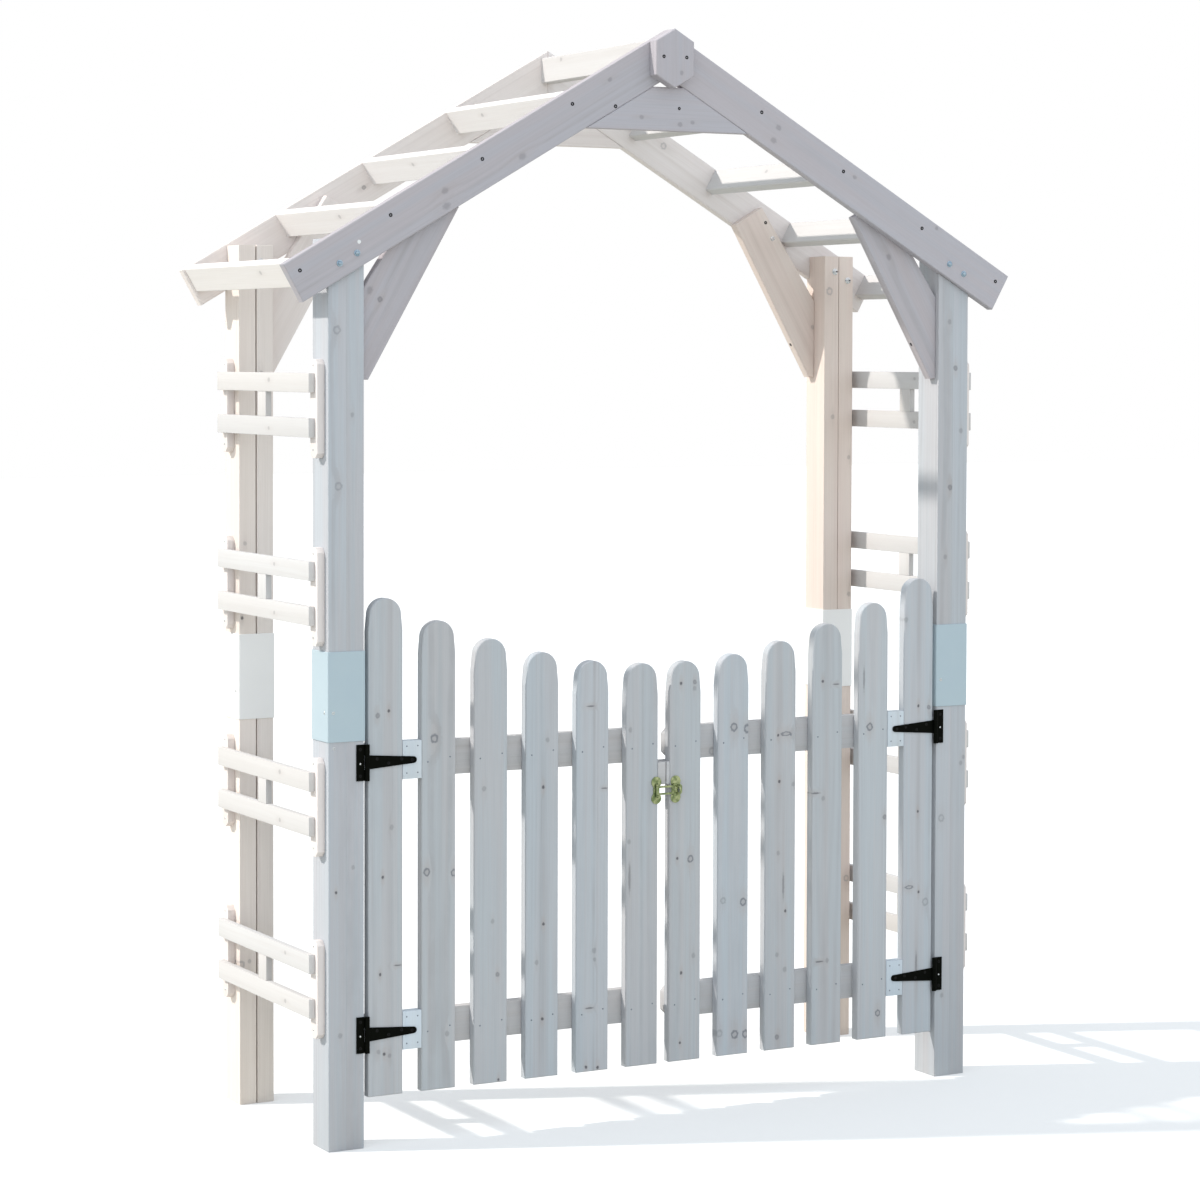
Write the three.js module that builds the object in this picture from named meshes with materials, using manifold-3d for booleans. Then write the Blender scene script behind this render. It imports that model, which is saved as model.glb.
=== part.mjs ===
// Garden arch with a pair of picket gates.
// Millimetres, X to the right, Y to the back, Z up. The origin is on the ground, in the middle of the four
// posts. The closed gate faces -Y.

import * as THREE from 'three';
import { mergeVertices } from 'three/addons/utils/BufferGeometryUtils.js';
import Module from 'manifold-3d';

// Frame of four posts
const frameWidth = 1386; // over the outer faces of the left and right posts
const frameDepth = 490; // over the outer faces of the front and rear posts
const postSide = 70;
const postHeight = 1646;
const postSeamDepth = 1.5; // the line where the two halves of a post meet
const sleeveHeight = 163; // the thin metal sleeve that joins the lower and the upper half of a post
const sleeveWall = 2;

// Roof
const roofPitch = THREE.MathUtils.degToRad(30);
const eaveOverhang = 91; // of the roof past the outer faces of the posts
const postTopCover = 4; // the roof line above the outer corner of a post
const rafterDepth = 77;
const rafterThickness = 20;
const rafterRebate = 10; // how far a rafter is let into the posts
const purlinDepth = 50;
const purlinThickness = 20;
const eavePurlinInset = 5; // from the end of a rafter to the nearest purlin
const purlinToPost = 39; // from the inner face of a post to the middle of the purlin beside it
const innerPurlinShares = [0.376, 0.687]; // of the slope from the ridge to the purlin beside the post
const ridgeBoardHeight = 50;
const ridgeBoardThickness = 30;
const ridgeBoardDrop = 16; // from the roof line down to the top of the ridge board
const capWidth = 82;
const capHeight = 111;
const capThickness = 25;
const gussetHeight = 82;
const gussetTopWidth = 66;
const gussetThickness = 20;

// Knee braces
const kneeThickness = 20;
const kneeAngle = THREE.MathUtils.degToRad(30); // of its inner edge, from the upright
const kneeReach = 195; // from the post to the inner corner of the upper end
const kneeEndWidth = 76; // along the square cut of the upper end
const kneeFootHeight = 160; // of the upright cut against the post
const kneeToe = 13; // the flat under the foot
const kneeEndDrop = 6; // of the inner corner of the upper end, under the underside of the rafter

// Ladders on the two sides
const battenLength = 178;
const battenWidth = 32;
const battenThickness = 15;
const battenInset = 15; // from the outer face of the arch to the edge of a batten
const battenCorner = 9; // the cut corners at the ends of a batten
const slatHeight = 35;
const slatThickness = 12;
const slatGap = 46;
const slatInset = 11; // from the edge of a batten to the end of a slat
const slatPairRise = 6; // of the pair of slats above the middle of the battens
const stileWidth = 38;
const ladderAboveSleeve = 9;
const ladderBelowSleeve = 30;
const topLadderShare = 0.526; // of the way from the ladder above the sleeve to the post top
const bottomLadderShare = 0.47; // of the way from the ground to the ladder below the sleeve

// Gate leaves
const hingeGap = 9; // between a post and the first picket
const meetingGap = 26; // between the two middle pickets
const groundGap = 92;
const picketsPerLeaf = 6;
const picketWidth = 68;
const picketThickness = 20;
const picketTaper = 2.6; // how much a picket narrows on each side up to its round top
const picketTaperLength = 60; // from the top down to where a picket has its full width
const picketAboveRail = 157; // from the middle of the upper rail to the top of the lowest picket
const picketSweep = 141; // how much higher the pickets are beside the posts
const sweepPower = 1.7;
const railHeight = 65;
const railThickness = 20;
const lowerRailCentre = 205;
const railEndInset = 2; // a rail stops this far inside the outer edges of its leaf
const railClip = 15; // the cut corners at the meeting end of a rail
const fillerHeight = 70; // the short board in front of a rail, between the first two pickets
const fillerRise = 2; // of a filler above the middle of its rail
const latchBlockHeight = 43;
const latchBlockLap = 32; // of a latch block behind its picket
const leftBlockReach = 17; // of a latch block into the gap where the leaves meet
const rightBlockReach = 7;

// Tee hinges
const hingeBelowSleeve = 6.5; // between the upper hinge plate and the sleeve over it
const hingeAboveRail = 2; // of the middle of a hinge above the middle of its rail
const hingePlateHeight = 66;
const hingePlateWidth = 20;
const hingeMetal = 2;
const hingeBarrelRadius = 4.5;
const hingePinRadius = 2.2;
const strapLength = 100;
const strapRootHeight = 26;
const strapTipHeight = 12;

// Hasp and staple
const latchBelowRail = 86; // from the middle of the upper rail to the middle of the latch
const latchMetal = 2;
const latchPlateHeight = 53;
const latchPlateWidth = 22;
const latchLobeHeight = 15; // of each round end of a latch plate
const latchPlateOverhang = 7; // of the left plate past its picket
const staplePlateSetback = 1; // of the right plate from the edge of its picket
const haspBarrelRadius = 3.5;
const haspPinRadius = 1.5;
const haspBarHeight = 3.6;
const haspHeight = 17;
const haspMetal = 2.4;
const haspEndWidth = 22;
const haspEndHeight = 24;
const stapleThickness = 3;
const stapleHeight = 17;
const stapleReach = 20;
const stapleHoleRadius = 4.5;
const stapleSlack = 1.2; // round the staple in the slot of the hasp

// Shared allowances
const seat = 0.3; // the gap between pieces that meet on a slope or a turned face
const boardEase = 1.5; // the small chamfer along the edges of every board
const cutOver = 5; // how far a cutting shape runs past what it cuts

const outerX = frameWidth / 2;
const innerX = outerX - postSide;
const outerY = frameDepth / 2;
const eaveReach = outerX + eaveOverhang;
const sleeveLow = (postHeight - sleeveHeight) / 2;
const sleeveHigh = sleeveLow + sleeveHeight;
const upperRailCentre = sleeveLow - hingeBelowSleeve - hingePlateHeight / 2 - hingeAboveRail;
const latchHeight = upperRailCentre - latchBelowRail;
const lowestPicketTop = upperRailCentre + picketAboveRail;
const roofSlope = Math.tan(roofPitch);
const apexHeight = postHeight + postTopCover + outerX * roofSlope;
const rafterDrop = rafterDepth / Math.cos(roofPitch);
const rafterFace = outerY - rafterRebate; // the inner face of the rafters, measured from the middle
const rafterFront = rafterFace + rafterThickness;
const roofLine = (x) => apexHeight - Math.abs(x) * roofSlope;
const rafterUnderside = (x) => roofLine(x) - rafterDrop;

const wasm = await Module();
wasm.setup();

const timber = (tone) => new THREE.MeshStandardMaterial({ color: tone, roughness: 0.85, metalness: 0 });
const materials = {
  post: () => timber(0xd8d6d6),
  roof: () => timber(0xdedcdc),
  gate: () => timber(0xcdd0d4),
  ladder: () => timber(0xf0eeec),
  hinge: () => new THREE.MeshStandardMaterial({ color: 0x141416, roughness: 0.5, metalness: 0.7 }),
  latch: () => new THREE.MeshStandardMaterial({ color: 0xa3a36a, roughness: 0.35, metalness: 0.9 }),
};

// Turns a geometry into a solid that can be joined and cut.
function solid(geometry) {
  const bare = geometry.clone();
  bare.deleteAttribute('normal');
  bare.deleteAttribute('uv');
  const merged = mergeVertices(bare);
  const vertProperties = new Float32Array(merged.attributes.position.array);
  const triVerts = new Uint32Array(merged.index.array);
  return new wasm.Manifold(new wasm.Mesh({ numProp: 3, vertProperties, triVerts }));
}

// Turns a solid back into a geometry.
function geometryOf(body) {
  const { numProp, vertProperties, triVerts } = body.getMesh();
  const positions = [];
  for (let i = 0; i < vertProperties.length; i += numProp) {
    positions.push(vertProperties[i], vertProperties[i + 1], vertProperties[i + 2]);
  }
  const geometry = new THREE.BufferGeometry();
  geometry.setAttribute('position', new THREE.Float32BufferAttribute(positions, 3));
  geometry.setIndex(Array.from(triVerts));
  geometry.computeVertexNormals();
  return geometry;
}

const joined = (...bodies) => bodies.reduce((whole, body) => whole.add(body));

function outline(points) {
  return new THREE.Shape(points.map(([a, b]) => new THREE.Vector2(a, b)));
}

// A board cut from an outline of [x, z] points, between two planes of Y, with its face edges eased.
function uprightBoard(points, yLow, yHigh, ease = boardEase) {
  const shape = points instanceof THREE.Shape ? points : outline(points);
  const geometry = new THREE.ExtrudeGeometry(shape, {
    depth: yHigh - yLow - 2 * ease,
    bevelEnabled: ease > 0,
    bevelThickness: ease,
    bevelSize: ease,
    bevelOffset: -ease,
    bevelSegments: 1,
    curveSegments: 10,
  });
  geometry.rotateX(Math.PI / 2);
  return geometry.translate(0, yHigh - ease, 0);
}

// A board that lies against the side of the arch: its outline is [y, z] points.
function sideBoard(points, xLow, xHigh, ease = boardEase) {
  const geometry = uprightBoard(points, -xHigh, -xLow, ease);
  return geometry.rotateZ(Math.PI / 2);
}

// A bar along Y with an outline of [x, z] points.
function barAlongY(points, yLow, yHigh) {
  return uprightBoard(points, yLow, yHigh, 0);
}

// A bar along Z with an outline of [x, y] points.
function barAlongZ(points, zLow, zHigh) {
  const geometry = new THREE.ExtrudeGeometry(outline(points), { depth: zHigh - zLow, bevelEnabled: false });
  return geometry.translate(0, 0, zLow);
}

const box = (a, b, c, d) => [[a, c], [b, c], [b, d], [a, d]];

// The points of a rectangle with its four corners cut.
function cutCorners(a, b, c, d, corner) {
  return [
    [a + corner, c],
    [b - corner, c],
    [b, c + corner],
    [b, d - corner],
    [b - corner, d],
    [a + corner, d],
    [a, d - corner],
    [a, c + corner],
  ];
}

// A point of a board that slopes with the right side of the roof: along the slope, and down square to it.
function onSlope(along, down) {
  return [
    along * Math.cos(roofPitch) - down * Math.sin(roofPitch),
    apexHeight - along * Math.sin(roofPitch) - down * Math.cos(roofPitch),
  ];
}

const flipped = (points) => points.map(([a, b]) => [-a, b]).reverse();
const onSide = (points, side) => (side > 0 ? points : flipped(points));
const span = (a, b) => [Math.min(a, b), Math.max(a, b)];

const group = new THREE.Group();

function place(name, geometry, material, parent = group) {
  const mesh = new THREE.Mesh(geometry, material());
  mesh.name = name;
  parent.add(mesh);
  return mesh;
}

// Posts: square, with a shallow line down the middle of the faces to the front and back, where the halves
// of the post meet, a sleeve round the middle and a rebate at the top for the rafter.
function postGeometry(side, face) {
  const x = side * (outerX - postSide / 2);
  const y = face * (outerY - postSide / 2);
  const half = postSide / 2;
  const section = [
    [-half + boardEase, -half],
    [-postSeamDepth, -half],
    [0, -half + postSeamDepth],
    [postSeamDepth, -half],
    [half - boardEase, -half],
    [half, -half + boardEase],
    [half, half - boardEase],
    [half - boardEase, half],
    [postSeamDepth, half],
    [0, half - postSeamDepth],
    [-postSeamDepth, half],
    [-half + boardEase, half],
    [-half, half - boardEase],
    [-half, -half + boardEase],
  ];
  const sleeve = half + sleeveWall;
  const shaft = solid(barAlongZ(section, 0, postHeight));
  const band = solid(
    barAlongZ(cutCorners(-sleeve, sleeve, -sleeve, sleeve, boardEase), sleeveLow, sleeveHigh),
  );
  const nearX = innerX - cutOver;
  const farX = outerX + cutOver;
  const rebate = onSide(
    [
      [nearX, rafterUnderside(nearX) - seat],
      [farX, rafterUnderside(farX) - seat],
      [farX, postHeight + cutOver],
      [nearX, postHeight + cutOver],
    ],
    side,
  );
  const [yLow, yHigh] = span(face * rafterFace, face * (outerY + cutOver));
  const cut = solid(barAlongY(rebate, yLow, yHigh));
  return geometryOf(joined(shaft, band).translate([x, y, 0]).subtract(cut));
}

// Rafters: cut upright where the pair meets, square at the eaves.
function rafterPoints() {
  const tip = eaveReach / Math.cos(roofPitch);
  return [
    [seat / 2, roofLine(seat / 2)],
    [seat / 2, rafterUnderside(seat / 2)],
    onSlope(tip, rafterDepth),
    onSlope(tip, 0),
  ];
}

// Purlins: boards on edge, square to the slope, between the front and the rear rafters.
function purlinPoints(middle) {
  const half = purlinThickness / 2;
  const section = cutCorners(middle - half, middle + half, 0, purlinDepth, boardEase);
  return section.map(([along, down]) => onSlope(along, down)).reverse();
}

function ridgeBoardGeometry() {
  const top = apexHeight - ridgeBoardDrop;
  const half = ridgeBoardThickness / 2;
  return barAlongY(cutCorners(-half, half, top - ridgeBoardHeight, top, boardEase), -rafterFace, rafterFace);
}

// The hexagonal cap over the joint of the rafters.
function capPoints() {
  const half = capWidth / 2;
  const shoulder = half * roofSlope;
  const bottom = apexHeight - capHeight;
  return [
    [0, bottom],
    [half, bottom + shoulder],
    [half, apexHeight - shoulder],
    [0, apexHeight],
    [-half, apexHeight - shoulder],
    [-half, bottom + shoulder],
  ];
}

// The gusset fits up against the undersides of both rafters.
function gussetPoints() {
  const topHalf = gussetTopWidth / 2;
  const top = rafterUnderside(topHalf);
  const bottom = top - gussetHeight;
  const bottomHalf = topHalf + gussetHeight / roofSlope;
  const clear = seat / Math.sin(roofPitch);
  return [
    [-bottomHalf + clear, bottom],
    [bottomHalf - clear, bottom],
    [topHalf - clear, top],
    [-topHalf + clear, top],
  ];
}

// Knee braces: from the inner face of a post up behind a rafter, cut square at the top.
function kneePoints() {
  const upperX = innerX - kneeReach;
  const upperZ = rafterUnderside(upperX) - kneeEndDrop;
  const toeX = innerX - kneeToe;
  const toeZ = upperZ - (toeX - upperX) / Math.tan(kneeAngle);
  const shoulderX = upperX + kneeEndWidth * Math.cos(kneeAngle);
  const shoulderZ = upperZ + kneeEndWidth * Math.sin(kneeAngle);
  return [
    [toeX, toeZ],
    [innerX, toeZ],
    [innerX, toeZ + kneeFootHeight],
    [shoulderX, shoulderZ],
    [upperX, upperZ],
  ];
}

// Ladders: two upright battens on the posts, with two slats across them and a short stile between.
function ladderGeometry(side, centre) {
  const battens = [-1, 1].map((face) => {
    const [yLow, yHigh] = span(face * (outerY - battenInset), face * (outerY - battenInset - battenWidth));
    const points = cutCorners(yLow, yHigh, centre - battenLength / 2, centre + battenLength / 2, battenCorner);
    return solid(sideBoard(points, outerX, outerX + battenThickness));
  });
  const slatEnd = outerY - battenInset - slatInset;
  const pairMiddle = centre + slatPairRise;
  const back = outerX + battenThickness;
  const slats = [-1, 1].map((way) => {
    const [zLow, zHigh] = span(pairMiddle + (way * slatGap) / 2, pairMiddle + way * (slatGap / 2 + slatHeight));
    return solid(sideBoard(box(-slatEnd, slatEnd, zLow, zHigh), back, back + slatThickness));
  });
  const stile = solid(
    sideBoard(
      box(-stileWidth / 2, stileWidth / 2, pairMiddle - slatGap / 2, pairMiddle + slatGap / 2),
      back,
      back + slatThickness,
      0,
    ),
  );
  const whole = joined(...battens, ...slats, stile);
  return geometryOf(side > 0 ? whole : whole.mirror([1, 0, 0]));
}

// Gate leaf sizes, for the right leaf. The left one is its mirror image.
const leafOuter = innerX - hingeGap;
const leafInner = meetingGap / 2;
const picketPitch = (leafOuter - leafInner - picketWidth) / (picketsPerLeaf - 1);
const picketBack = -outerY + picketThickness;
const picketCentre = (index) => leafInner + picketWidth / 2 + picketPitch * index;
const picketTop = (index) => lowestPicketTop + picketSweep * (index / (picketsPerLeaf - 1)) ** sweepPower;

// Pickets: round at the top, numbered from the middle of the gate outwards.
function picketShape(index) {
  const centre = picketCentre(index);
  const half = picketWidth / 2;
  const top = picketTop(index);
  const crown = half - picketTaper;
  const shoulder = top - picketTaperLength;
  const shape = new THREE.Shape();
  shape.moveTo(centre - half, groundGap);
  shape.lineTo(centre + half, groundGap);
  shape.lineTo(centre + half, shoulder);
  shape.lineTo(centre + crown, top - crown);
  shape.absarc(centre, top - crown, crown, 0, Math.PI, false);
  shape.lineTo(centre - half, shoulder);
  shape.lineTo(centre - half, groundGap);
  return shape;
}

// Rails: along the back of the pickets, with a filler board flush with the first two pickets. The upper
// rails also carry a latch block: behind the middle picket, and out into the gap beside it.
function railGeometry(middle, blockReach) {
  const low = middle - railHeight / 2;
  const high = middle + railHeight / 2;
  const inner = leafInner + railEndInset;
  const outer = leafOuter - railEndInset;
  const points = [
    [inner + railClip, low],
    [outer, low],
    [outer, high],
    [inner + railClip, high],
    [inner, high - railClip],
    [inner, low + railClip],
  ];
  const rail = uprightBoard(points, picketBack, picketBack + railThickness);
  const gapStart = picketCentre(picketsPerLeaf - 2) + picketWidth / 2 + seat;
  const gapEnd = picketCentre(picketsPerLeaf - 1) - picketWidth / 2 - seat;
  const fillerLow = middle + fillerRise - fillerHeight / 2;
  const filler = uprightBoard(box(gapStart, gapEnd, fillerLow, fillerLow + fillerHeight), -outerY, picketBack);
  const pieces = [solid(rail), solid(filler)];
  if (blockReach > 0) {
    const behind = leafInner + latchBlockLap;
    const front = leafInner - seat;
    const tip = leafInner - blockReach;
    const bottom = low - latchBlockHeight;
    const backY = picketBack + railThickness;
    pieces.push(solid(uprightBoard(box(tip, behind, bottom, low + railClip), picketBack, backY, 0)));
    pieces.push(solid(uprightBoard(box(tip, front, bottom, low), -outerY, picketBack, 0)));
  }
  return geometryOf(joined(...pieces));
}

// Tee hinges. The pin stands in the gap between post and picket, in front of both.
const hingeX = innerX - hingeGap / 2;
const hingeY = -outerY - hingeBarrelRadius;

function upright(radius, x, y, zLow, zHigh) {
  const geometry = new THREE.CylinderGeometry(radius, radius, zHigh - zLow, 20);
  geometry.rotateX(Math.PI / 2);
  return solid(geometry.translate(x, y, (zLow + zHigh) / 2));
}

function hingePlateGeometry(middle) {
  const low = middle - hingePlateHeight / 2;
  const high = middle + hingePlateHeight / 2;
  const room = strapRootHeight / 2 + seat;
  const front = -outerY - hingeMetal;
  const plate = solid(uprightBoard(box(hingeX, hingeX + hingePlateWidth, low, high), front, -outerY, 0));
  const reliefEnd = hingeX + hingeBarrelRadius + seat;
  const reliefPoints = box(hingeX - cutOver, reliefEnd, middle - room, middle + room);
  const relief = solid(uprightBoard(reliefPoints, front - cutOver, -outerY + cutOver, 0));
  const knuckles = joined(
    upright(hingeBarrelRadius, hingeX, hingeY, low, middle - room),
    upright(hingeBarrelRadius, hingeX, hingeY, middle + room, high),
  );
  const pin = upright(hingePinRadius, hingeX, hingeY, low, high);
  return geometryOf(joined(plate.subtract(relief), knuckles, pin));
}

function strapGeometry(middle) {
  const root = strapRootHeight / 2;
  const tip = strapTipHeight / 2;
  const shape = new THREE.Shape();
  shape.moveTo(hingeX, middle + root);
  shape.lineTo(hingeX - strapLength + tip, middle + tip);
  shape.absarc(hingeX - strapLength + tip, middle, tip, Math.PI / 2, (Math.PI * 3) / 2, false);
  shape.lineTo(hingeX, middle - root);
  const strap = solid(uprightBoard(shape, -outerY - hingeMetal, -outerY, 0));
  const knuckle = upright(hingeBarrelRadius, hingeX, hingeY, middle - root, middle + root);
  const bore = upright(hingePinRadius + seat, hingeX, hingeY, middle - root - cutOver, middle + root + cutOver);
  return geometryOf(joined(strap, knuckle).subtract(bore));
}

// Hasp and staple
const latchFace = -outerY - latchMetal;
const haspX = -leafInner - latchPlateWidth / 2 + latchPlateOverhang;
const haspY = latchFace - haspBarrelRadius - seat;
const stapleX = leafInner + staplePlateSetback + latchPlateWidth / 2;

function latchPlateShape(x) {
  const half = latchPlateWidth / 2;
  const body = latchPlateHeight / 2 - latchLobeHeight;
  const shape = new THREE.Shape();
  shape.moveTo(x - half, latchHeight - body);
  shape.absellipse(x, latchHeight - body, half, latchLobeHeight, Math.PI, Math.PI * 2, false);
  shape.lineTo(x + half, latchHeight + body);
  shape.absellipse(x, latchHeight + body, half, latchLobeHeight, 0, Math.PI, false);
  return shape;
}

function latchPlateGeometry() {
  const plate = solid(uprightBoard(latchPlateShape(haspX), latchFace, -outerY, 0));
  const room = haspHeight / 2 + seat;
  const end = room + haspBarHeight * 2;
  const knuckles = joined(
    upright(haspBarrelRadius, haspX, haspY, latchHeight - end, latchHeight - room),
    upright(haspBarrelRadius, haspX, haspY, latchHeight + room, latchHeight + end),
  );
  const pin = upright(haspPinRadius, haspX, haspY, latchHeight - end, latchHeight + end);
  const webs = [-1, 1].map((way) => {
    const [zLow, zHigh] = span(latchHeight + way * room, latchHeight + way * end);
    return solid(uprightBoard(box(haspX - haspPinRadius, haspX + haspPinRadius, zLow, zHigh), haspY, latchFace, 0));
  });
  return geometryOf(joined(plate, knuckles, pin, ...webs));
}

// The loop turns about the upright pin of its plate. The far side of its slot swings clear of the staple.
function haspGeometry() {
  const half = haspHeight / 2;
  const low = latchHeight - half;
  const high = latchHeight + half;
  const yLow = haspY - haspMetal / 2;
  const yHigh = haspY + haspMetal / 2;
  const endLeft = stapleX - haspEndWidth / 2;
  const endRight = stapleX + haspEndWidth / 2;
  const bars = joined(
    solid(uprightBoard(box(haspX, endLeft + haspBarHeight, low, low + haspBarHeight), yLow, yHigh, 0)),
    solid(uprightBoard(box(haspX, endLeft + haspBarHeight, high - haspBarHeight, high), yLow, yHigh, 0)),
  );
  const corner = haspEndWidth / 4;
  const endPlate = solid(uprightBoard(
    cutCorners(endLeft, endRight, latchHeight - haspEndHeight / 2, latchHeight + haspEndHeight / 2, corner),
    yLow, yHigh, 0));
  const stapleNear = stapleX - stapleThickness / 2;
  const stapleFar = stapleX + stapleThickness / 2;
  const slotFar = haspX + Math.hypot(stapleFar - haspX, stapleReach) + seat;
  const slotZ = stapleHeight / 2 + stapleSlack;
  const slot = solid(uprightBoard(
    box(stapleNear - stapleSlack, slotFar, latchHeight - slotZ, latchHeight + slotZ),
    yLow - cutOver, yHigh + cutOver, 0));
  const knuckle = upright(haspBarrelRadius, haspX, haspY, low, high);
  const bore = upright(haspPinRadius + seat, haspX, haspY, low - cutOver, high + cutOver);
  return geometryOf(joined(bars, endPlate, knuckle).subtract(slot).subtract(bore));
}

function stapleGeometry() {
  const plate = solid(uprightBoard(latchPlateShape(stapleX), latchFace, -outerY, 0));
  const radius = stapleHeight / 2;
  const eyeCentre = latchFace - stapleReach + radius;
  const shape = new THREE.Shape();
  shape.moveTo(latchFace, latchHeight - radius);
  shape.lineTo(latchFace, latchHeight + radius);
  shape.lineTo(eyeCentre, latchHeight + radius);
  shape.absarc(eyeCentre, latchHeight, radius, Math.PI / 2, (Math.PI * 3) / 2, false);
  const hole = new THREE.Path();
  hole.absarc(eyeCentre, latchHeight, stapleHoleRadius, 0, Math.PI * 2, true);
  shape.holes.push(hole);
  const eye = solid(sideBoard(shape, stapleX - stapleThickness / 2, stapleX + stapleThickness / 2, 0));
  return geometryOf(joined(plate, eye));
}

const mirrored = (geometry) => geometryOf(solid(geometry).mirror([1, 0, 0]));
const handed = (geometry, side) => (side > 0 ? geometry : mirrored(geometry));

const sides = [['left', -1], ['right', 1]];
const faces = [['front', -1], ['rear', 1]];

for (const [faceName, face] of faces) {
  const [rafterLow, rafterHigh] = span(face * rafterFace, face * rafterFront);
  const [kneeLow, kneeHigh] = span(face * (rafterFace - kneeThickness), face * rafterFace);
  const [capLow, capHigh] = span(face * rafterFront, face * (rafterFront + capThickness));
  const [gussetLow, gussetHigh] = span(face * rafterFace, face * (rafterFace + gussetThickness));
  for (const [sideName, side] of sides) {
    place(`${faceName}_${sideName}_post`, postGeometry(side, face), materials.post);
    const rafter = uprightBoard(onSide(rafterPoints(), side), rafterLow, rafterHigh);
    place(`${faceName}_${sideName}_rafter`, rafter, materials.roof);
    const knee = uprightBoard(onSide(kneePoints(), side), kneeLow, kneeHigh);
    place(`${faceName}_${sideName}_knee_brace`, knee, materials.roof);
  }
  place(`${faceName}_gusset`, uprightBoard(gussetPoints(), gussetLow, gussetHigh), materials.roof);
  place(`${faceName}_ridge_cap`, uprightBoard(capPoints(), capLow, capHigh), materials.roof);
}
place('ridge_board', ridgeBoardGeometry(), materials.roof);

const purlinBesidePost = (innerX - purlinToPost) / Math.cos(roofPitch);
const purlinMiddles = [
  ...innerPurlinShares.map((share) => share * purlinBesidePost),
  purlinBesidePost,
  eaveReach / Math.cos(roofPitch) - eavePurlinInset - purlinThickness / 2,
];
for (const [sideName, side] of sides) {
  purlinMiddles.forEach((middle, index) => {
    const purlin = barAlongY(onSide(purlinPoints(middle), side), -rafterFace, rafterFace);
    place(`${sideName}_purlin_${index + 1}`, purlin, materials.roof);
  });
}

const aboveSleeve = sleeveHigh + ladderAboveSleeve + battenLength / 2;
const belowSleeve = sleeveLow - ladderBelowSleeve - battenLength / 2;
const ladderCentres = [
  belowSleeve * bottomLadderShare,
  belowSleeve,
  aboveSleeve,
  aboveSleeve + (postHeight - aboveSleeve) * topLadderShare,
];
for (const [sideName, side] of sides) {
  ladderCentres.forEach((centre, index) => {
    place(`${sideName}_side_ladder_${index + 1}`, ladderGeometry(side, centre), materials.ladder);
  });
}

for (const [sideName, side] of sides) {
  const leaf = new THREE.Group();
  group.add(leaf);
  for (let index = 0; index < picketsPerLeaf; index += 1) {
    const picket = handed(uprightBoard(picketShape(index), -outerY, picketBack), side);
    place(`${sideName}_picket_${index + 1}`, picket, materials.gate, leaf);
  }
  const blockReach = side > 0 ? rightBlockReach : leftBlockReach;
  place(`${sideName}_upper_rail`, handed(railGeometry(upperRailCentre, blockReach), side), materials.gate, leaf);
  place(`${sideName}_lower_rail`, handed(railGeometry(lowerRailCentre, 0), side), materials.gate, leaf);
  for (const [level, railMiddle] of [['upper', upperRailCentre], ['lower', lowerRailCentre]]) {
    const middle = railMiddle + hingeAboveRail;
    place(`${sideName}_${level}_hinge_plate`, handed(hingePlateGeometry(middle), side), materials.hinge);
    place(`${sideName}_${level}_hinge_strap`, handed(strapGeometry(middle), side), materials.hinge, leaf);
  }
}
place('hasp_plate', latchPlateGeometry(), materials.latch);
place('hasp', haspGeometry(), materials.latch);
place('staple', stapleGeometry(), materials.latch);

export default group;
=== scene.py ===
import math
import random

import bmesh
import bpy
from mathutils import Matrix, Vector


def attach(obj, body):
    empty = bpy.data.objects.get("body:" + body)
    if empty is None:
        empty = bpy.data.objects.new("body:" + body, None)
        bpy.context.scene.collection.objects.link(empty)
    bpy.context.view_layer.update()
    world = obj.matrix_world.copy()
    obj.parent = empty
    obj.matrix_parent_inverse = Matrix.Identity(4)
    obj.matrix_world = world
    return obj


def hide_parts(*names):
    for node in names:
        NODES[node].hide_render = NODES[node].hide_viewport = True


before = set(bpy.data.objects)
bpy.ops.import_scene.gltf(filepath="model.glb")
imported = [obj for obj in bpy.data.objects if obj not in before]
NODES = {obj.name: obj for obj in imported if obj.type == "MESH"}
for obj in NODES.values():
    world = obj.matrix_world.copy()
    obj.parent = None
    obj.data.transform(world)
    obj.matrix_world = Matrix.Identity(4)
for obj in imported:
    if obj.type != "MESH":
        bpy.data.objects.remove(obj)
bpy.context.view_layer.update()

MM = 0.001
X, Y, Z = Vector((1, 0, 0)), Vector((0, 1, 0)), Vector((0, 0, 1))
SIDES = (("left", -1), ("right", 1))
FACES = (("front", -1), ("rear", 1))

# Sizes of the arch in millimetres, as in the model
OUTER_X, OUTER_Y = 693.0, 245.0
BOARD, METAL = 20.0, 2.0
SEAT, TOUCH = 0.3, 0.05  # gaps between boards, and under what is nailed flat
POST, POST_HEIGHT, POST_TO_ROOF = 70.0, 1646.0, 4.0
SLEEVE_LOW, SLEEVE_HIGH = 741.5, 904.5
PITCH, KNEE = math.radians(30), math.radians(30)
APEX = POST_HEIGHT + POST_TO_ROOF + OUTER_X * math.tan(PITCH)
RAFTER_DEPTH, RAFTER_BACK, RAFTER_FRONT = 77.0, 235.0, 255.0
RAFTER_MIDDLE, KNEE_MIDDLE, CAP_FRONT = RAFTER_BACK + BOARD / 2, RAFTER_BACK - BOARD / 2, 280.0
LEAF_IN, LEAF_OUT = 13.0, 614.0
PICKETS, PICKET_STEP, PICKET_WIDTH = 6, 106.6, 68.0
UPPER_RAIL, LOWER_RAIL, HINGE_RISE = 700.0, 205.0, 2.0
PICKET_FRONT, RAIL_FRONT, RAIL_BACK = -OUTER_Y, -OUTER_Y + BOARD, -OUTER_Y + 2 * BOARD
LATCH, HASP_X, STAPLE_X, PIN_Y = 614.0, -17.0, 25.0, -250.8


# Node helpers
MIX_FACTOR, MIX_A, MIX_B, MIX_COLOUR = 0, 6, 7, 2  # the sockets of a mix of colours


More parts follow.
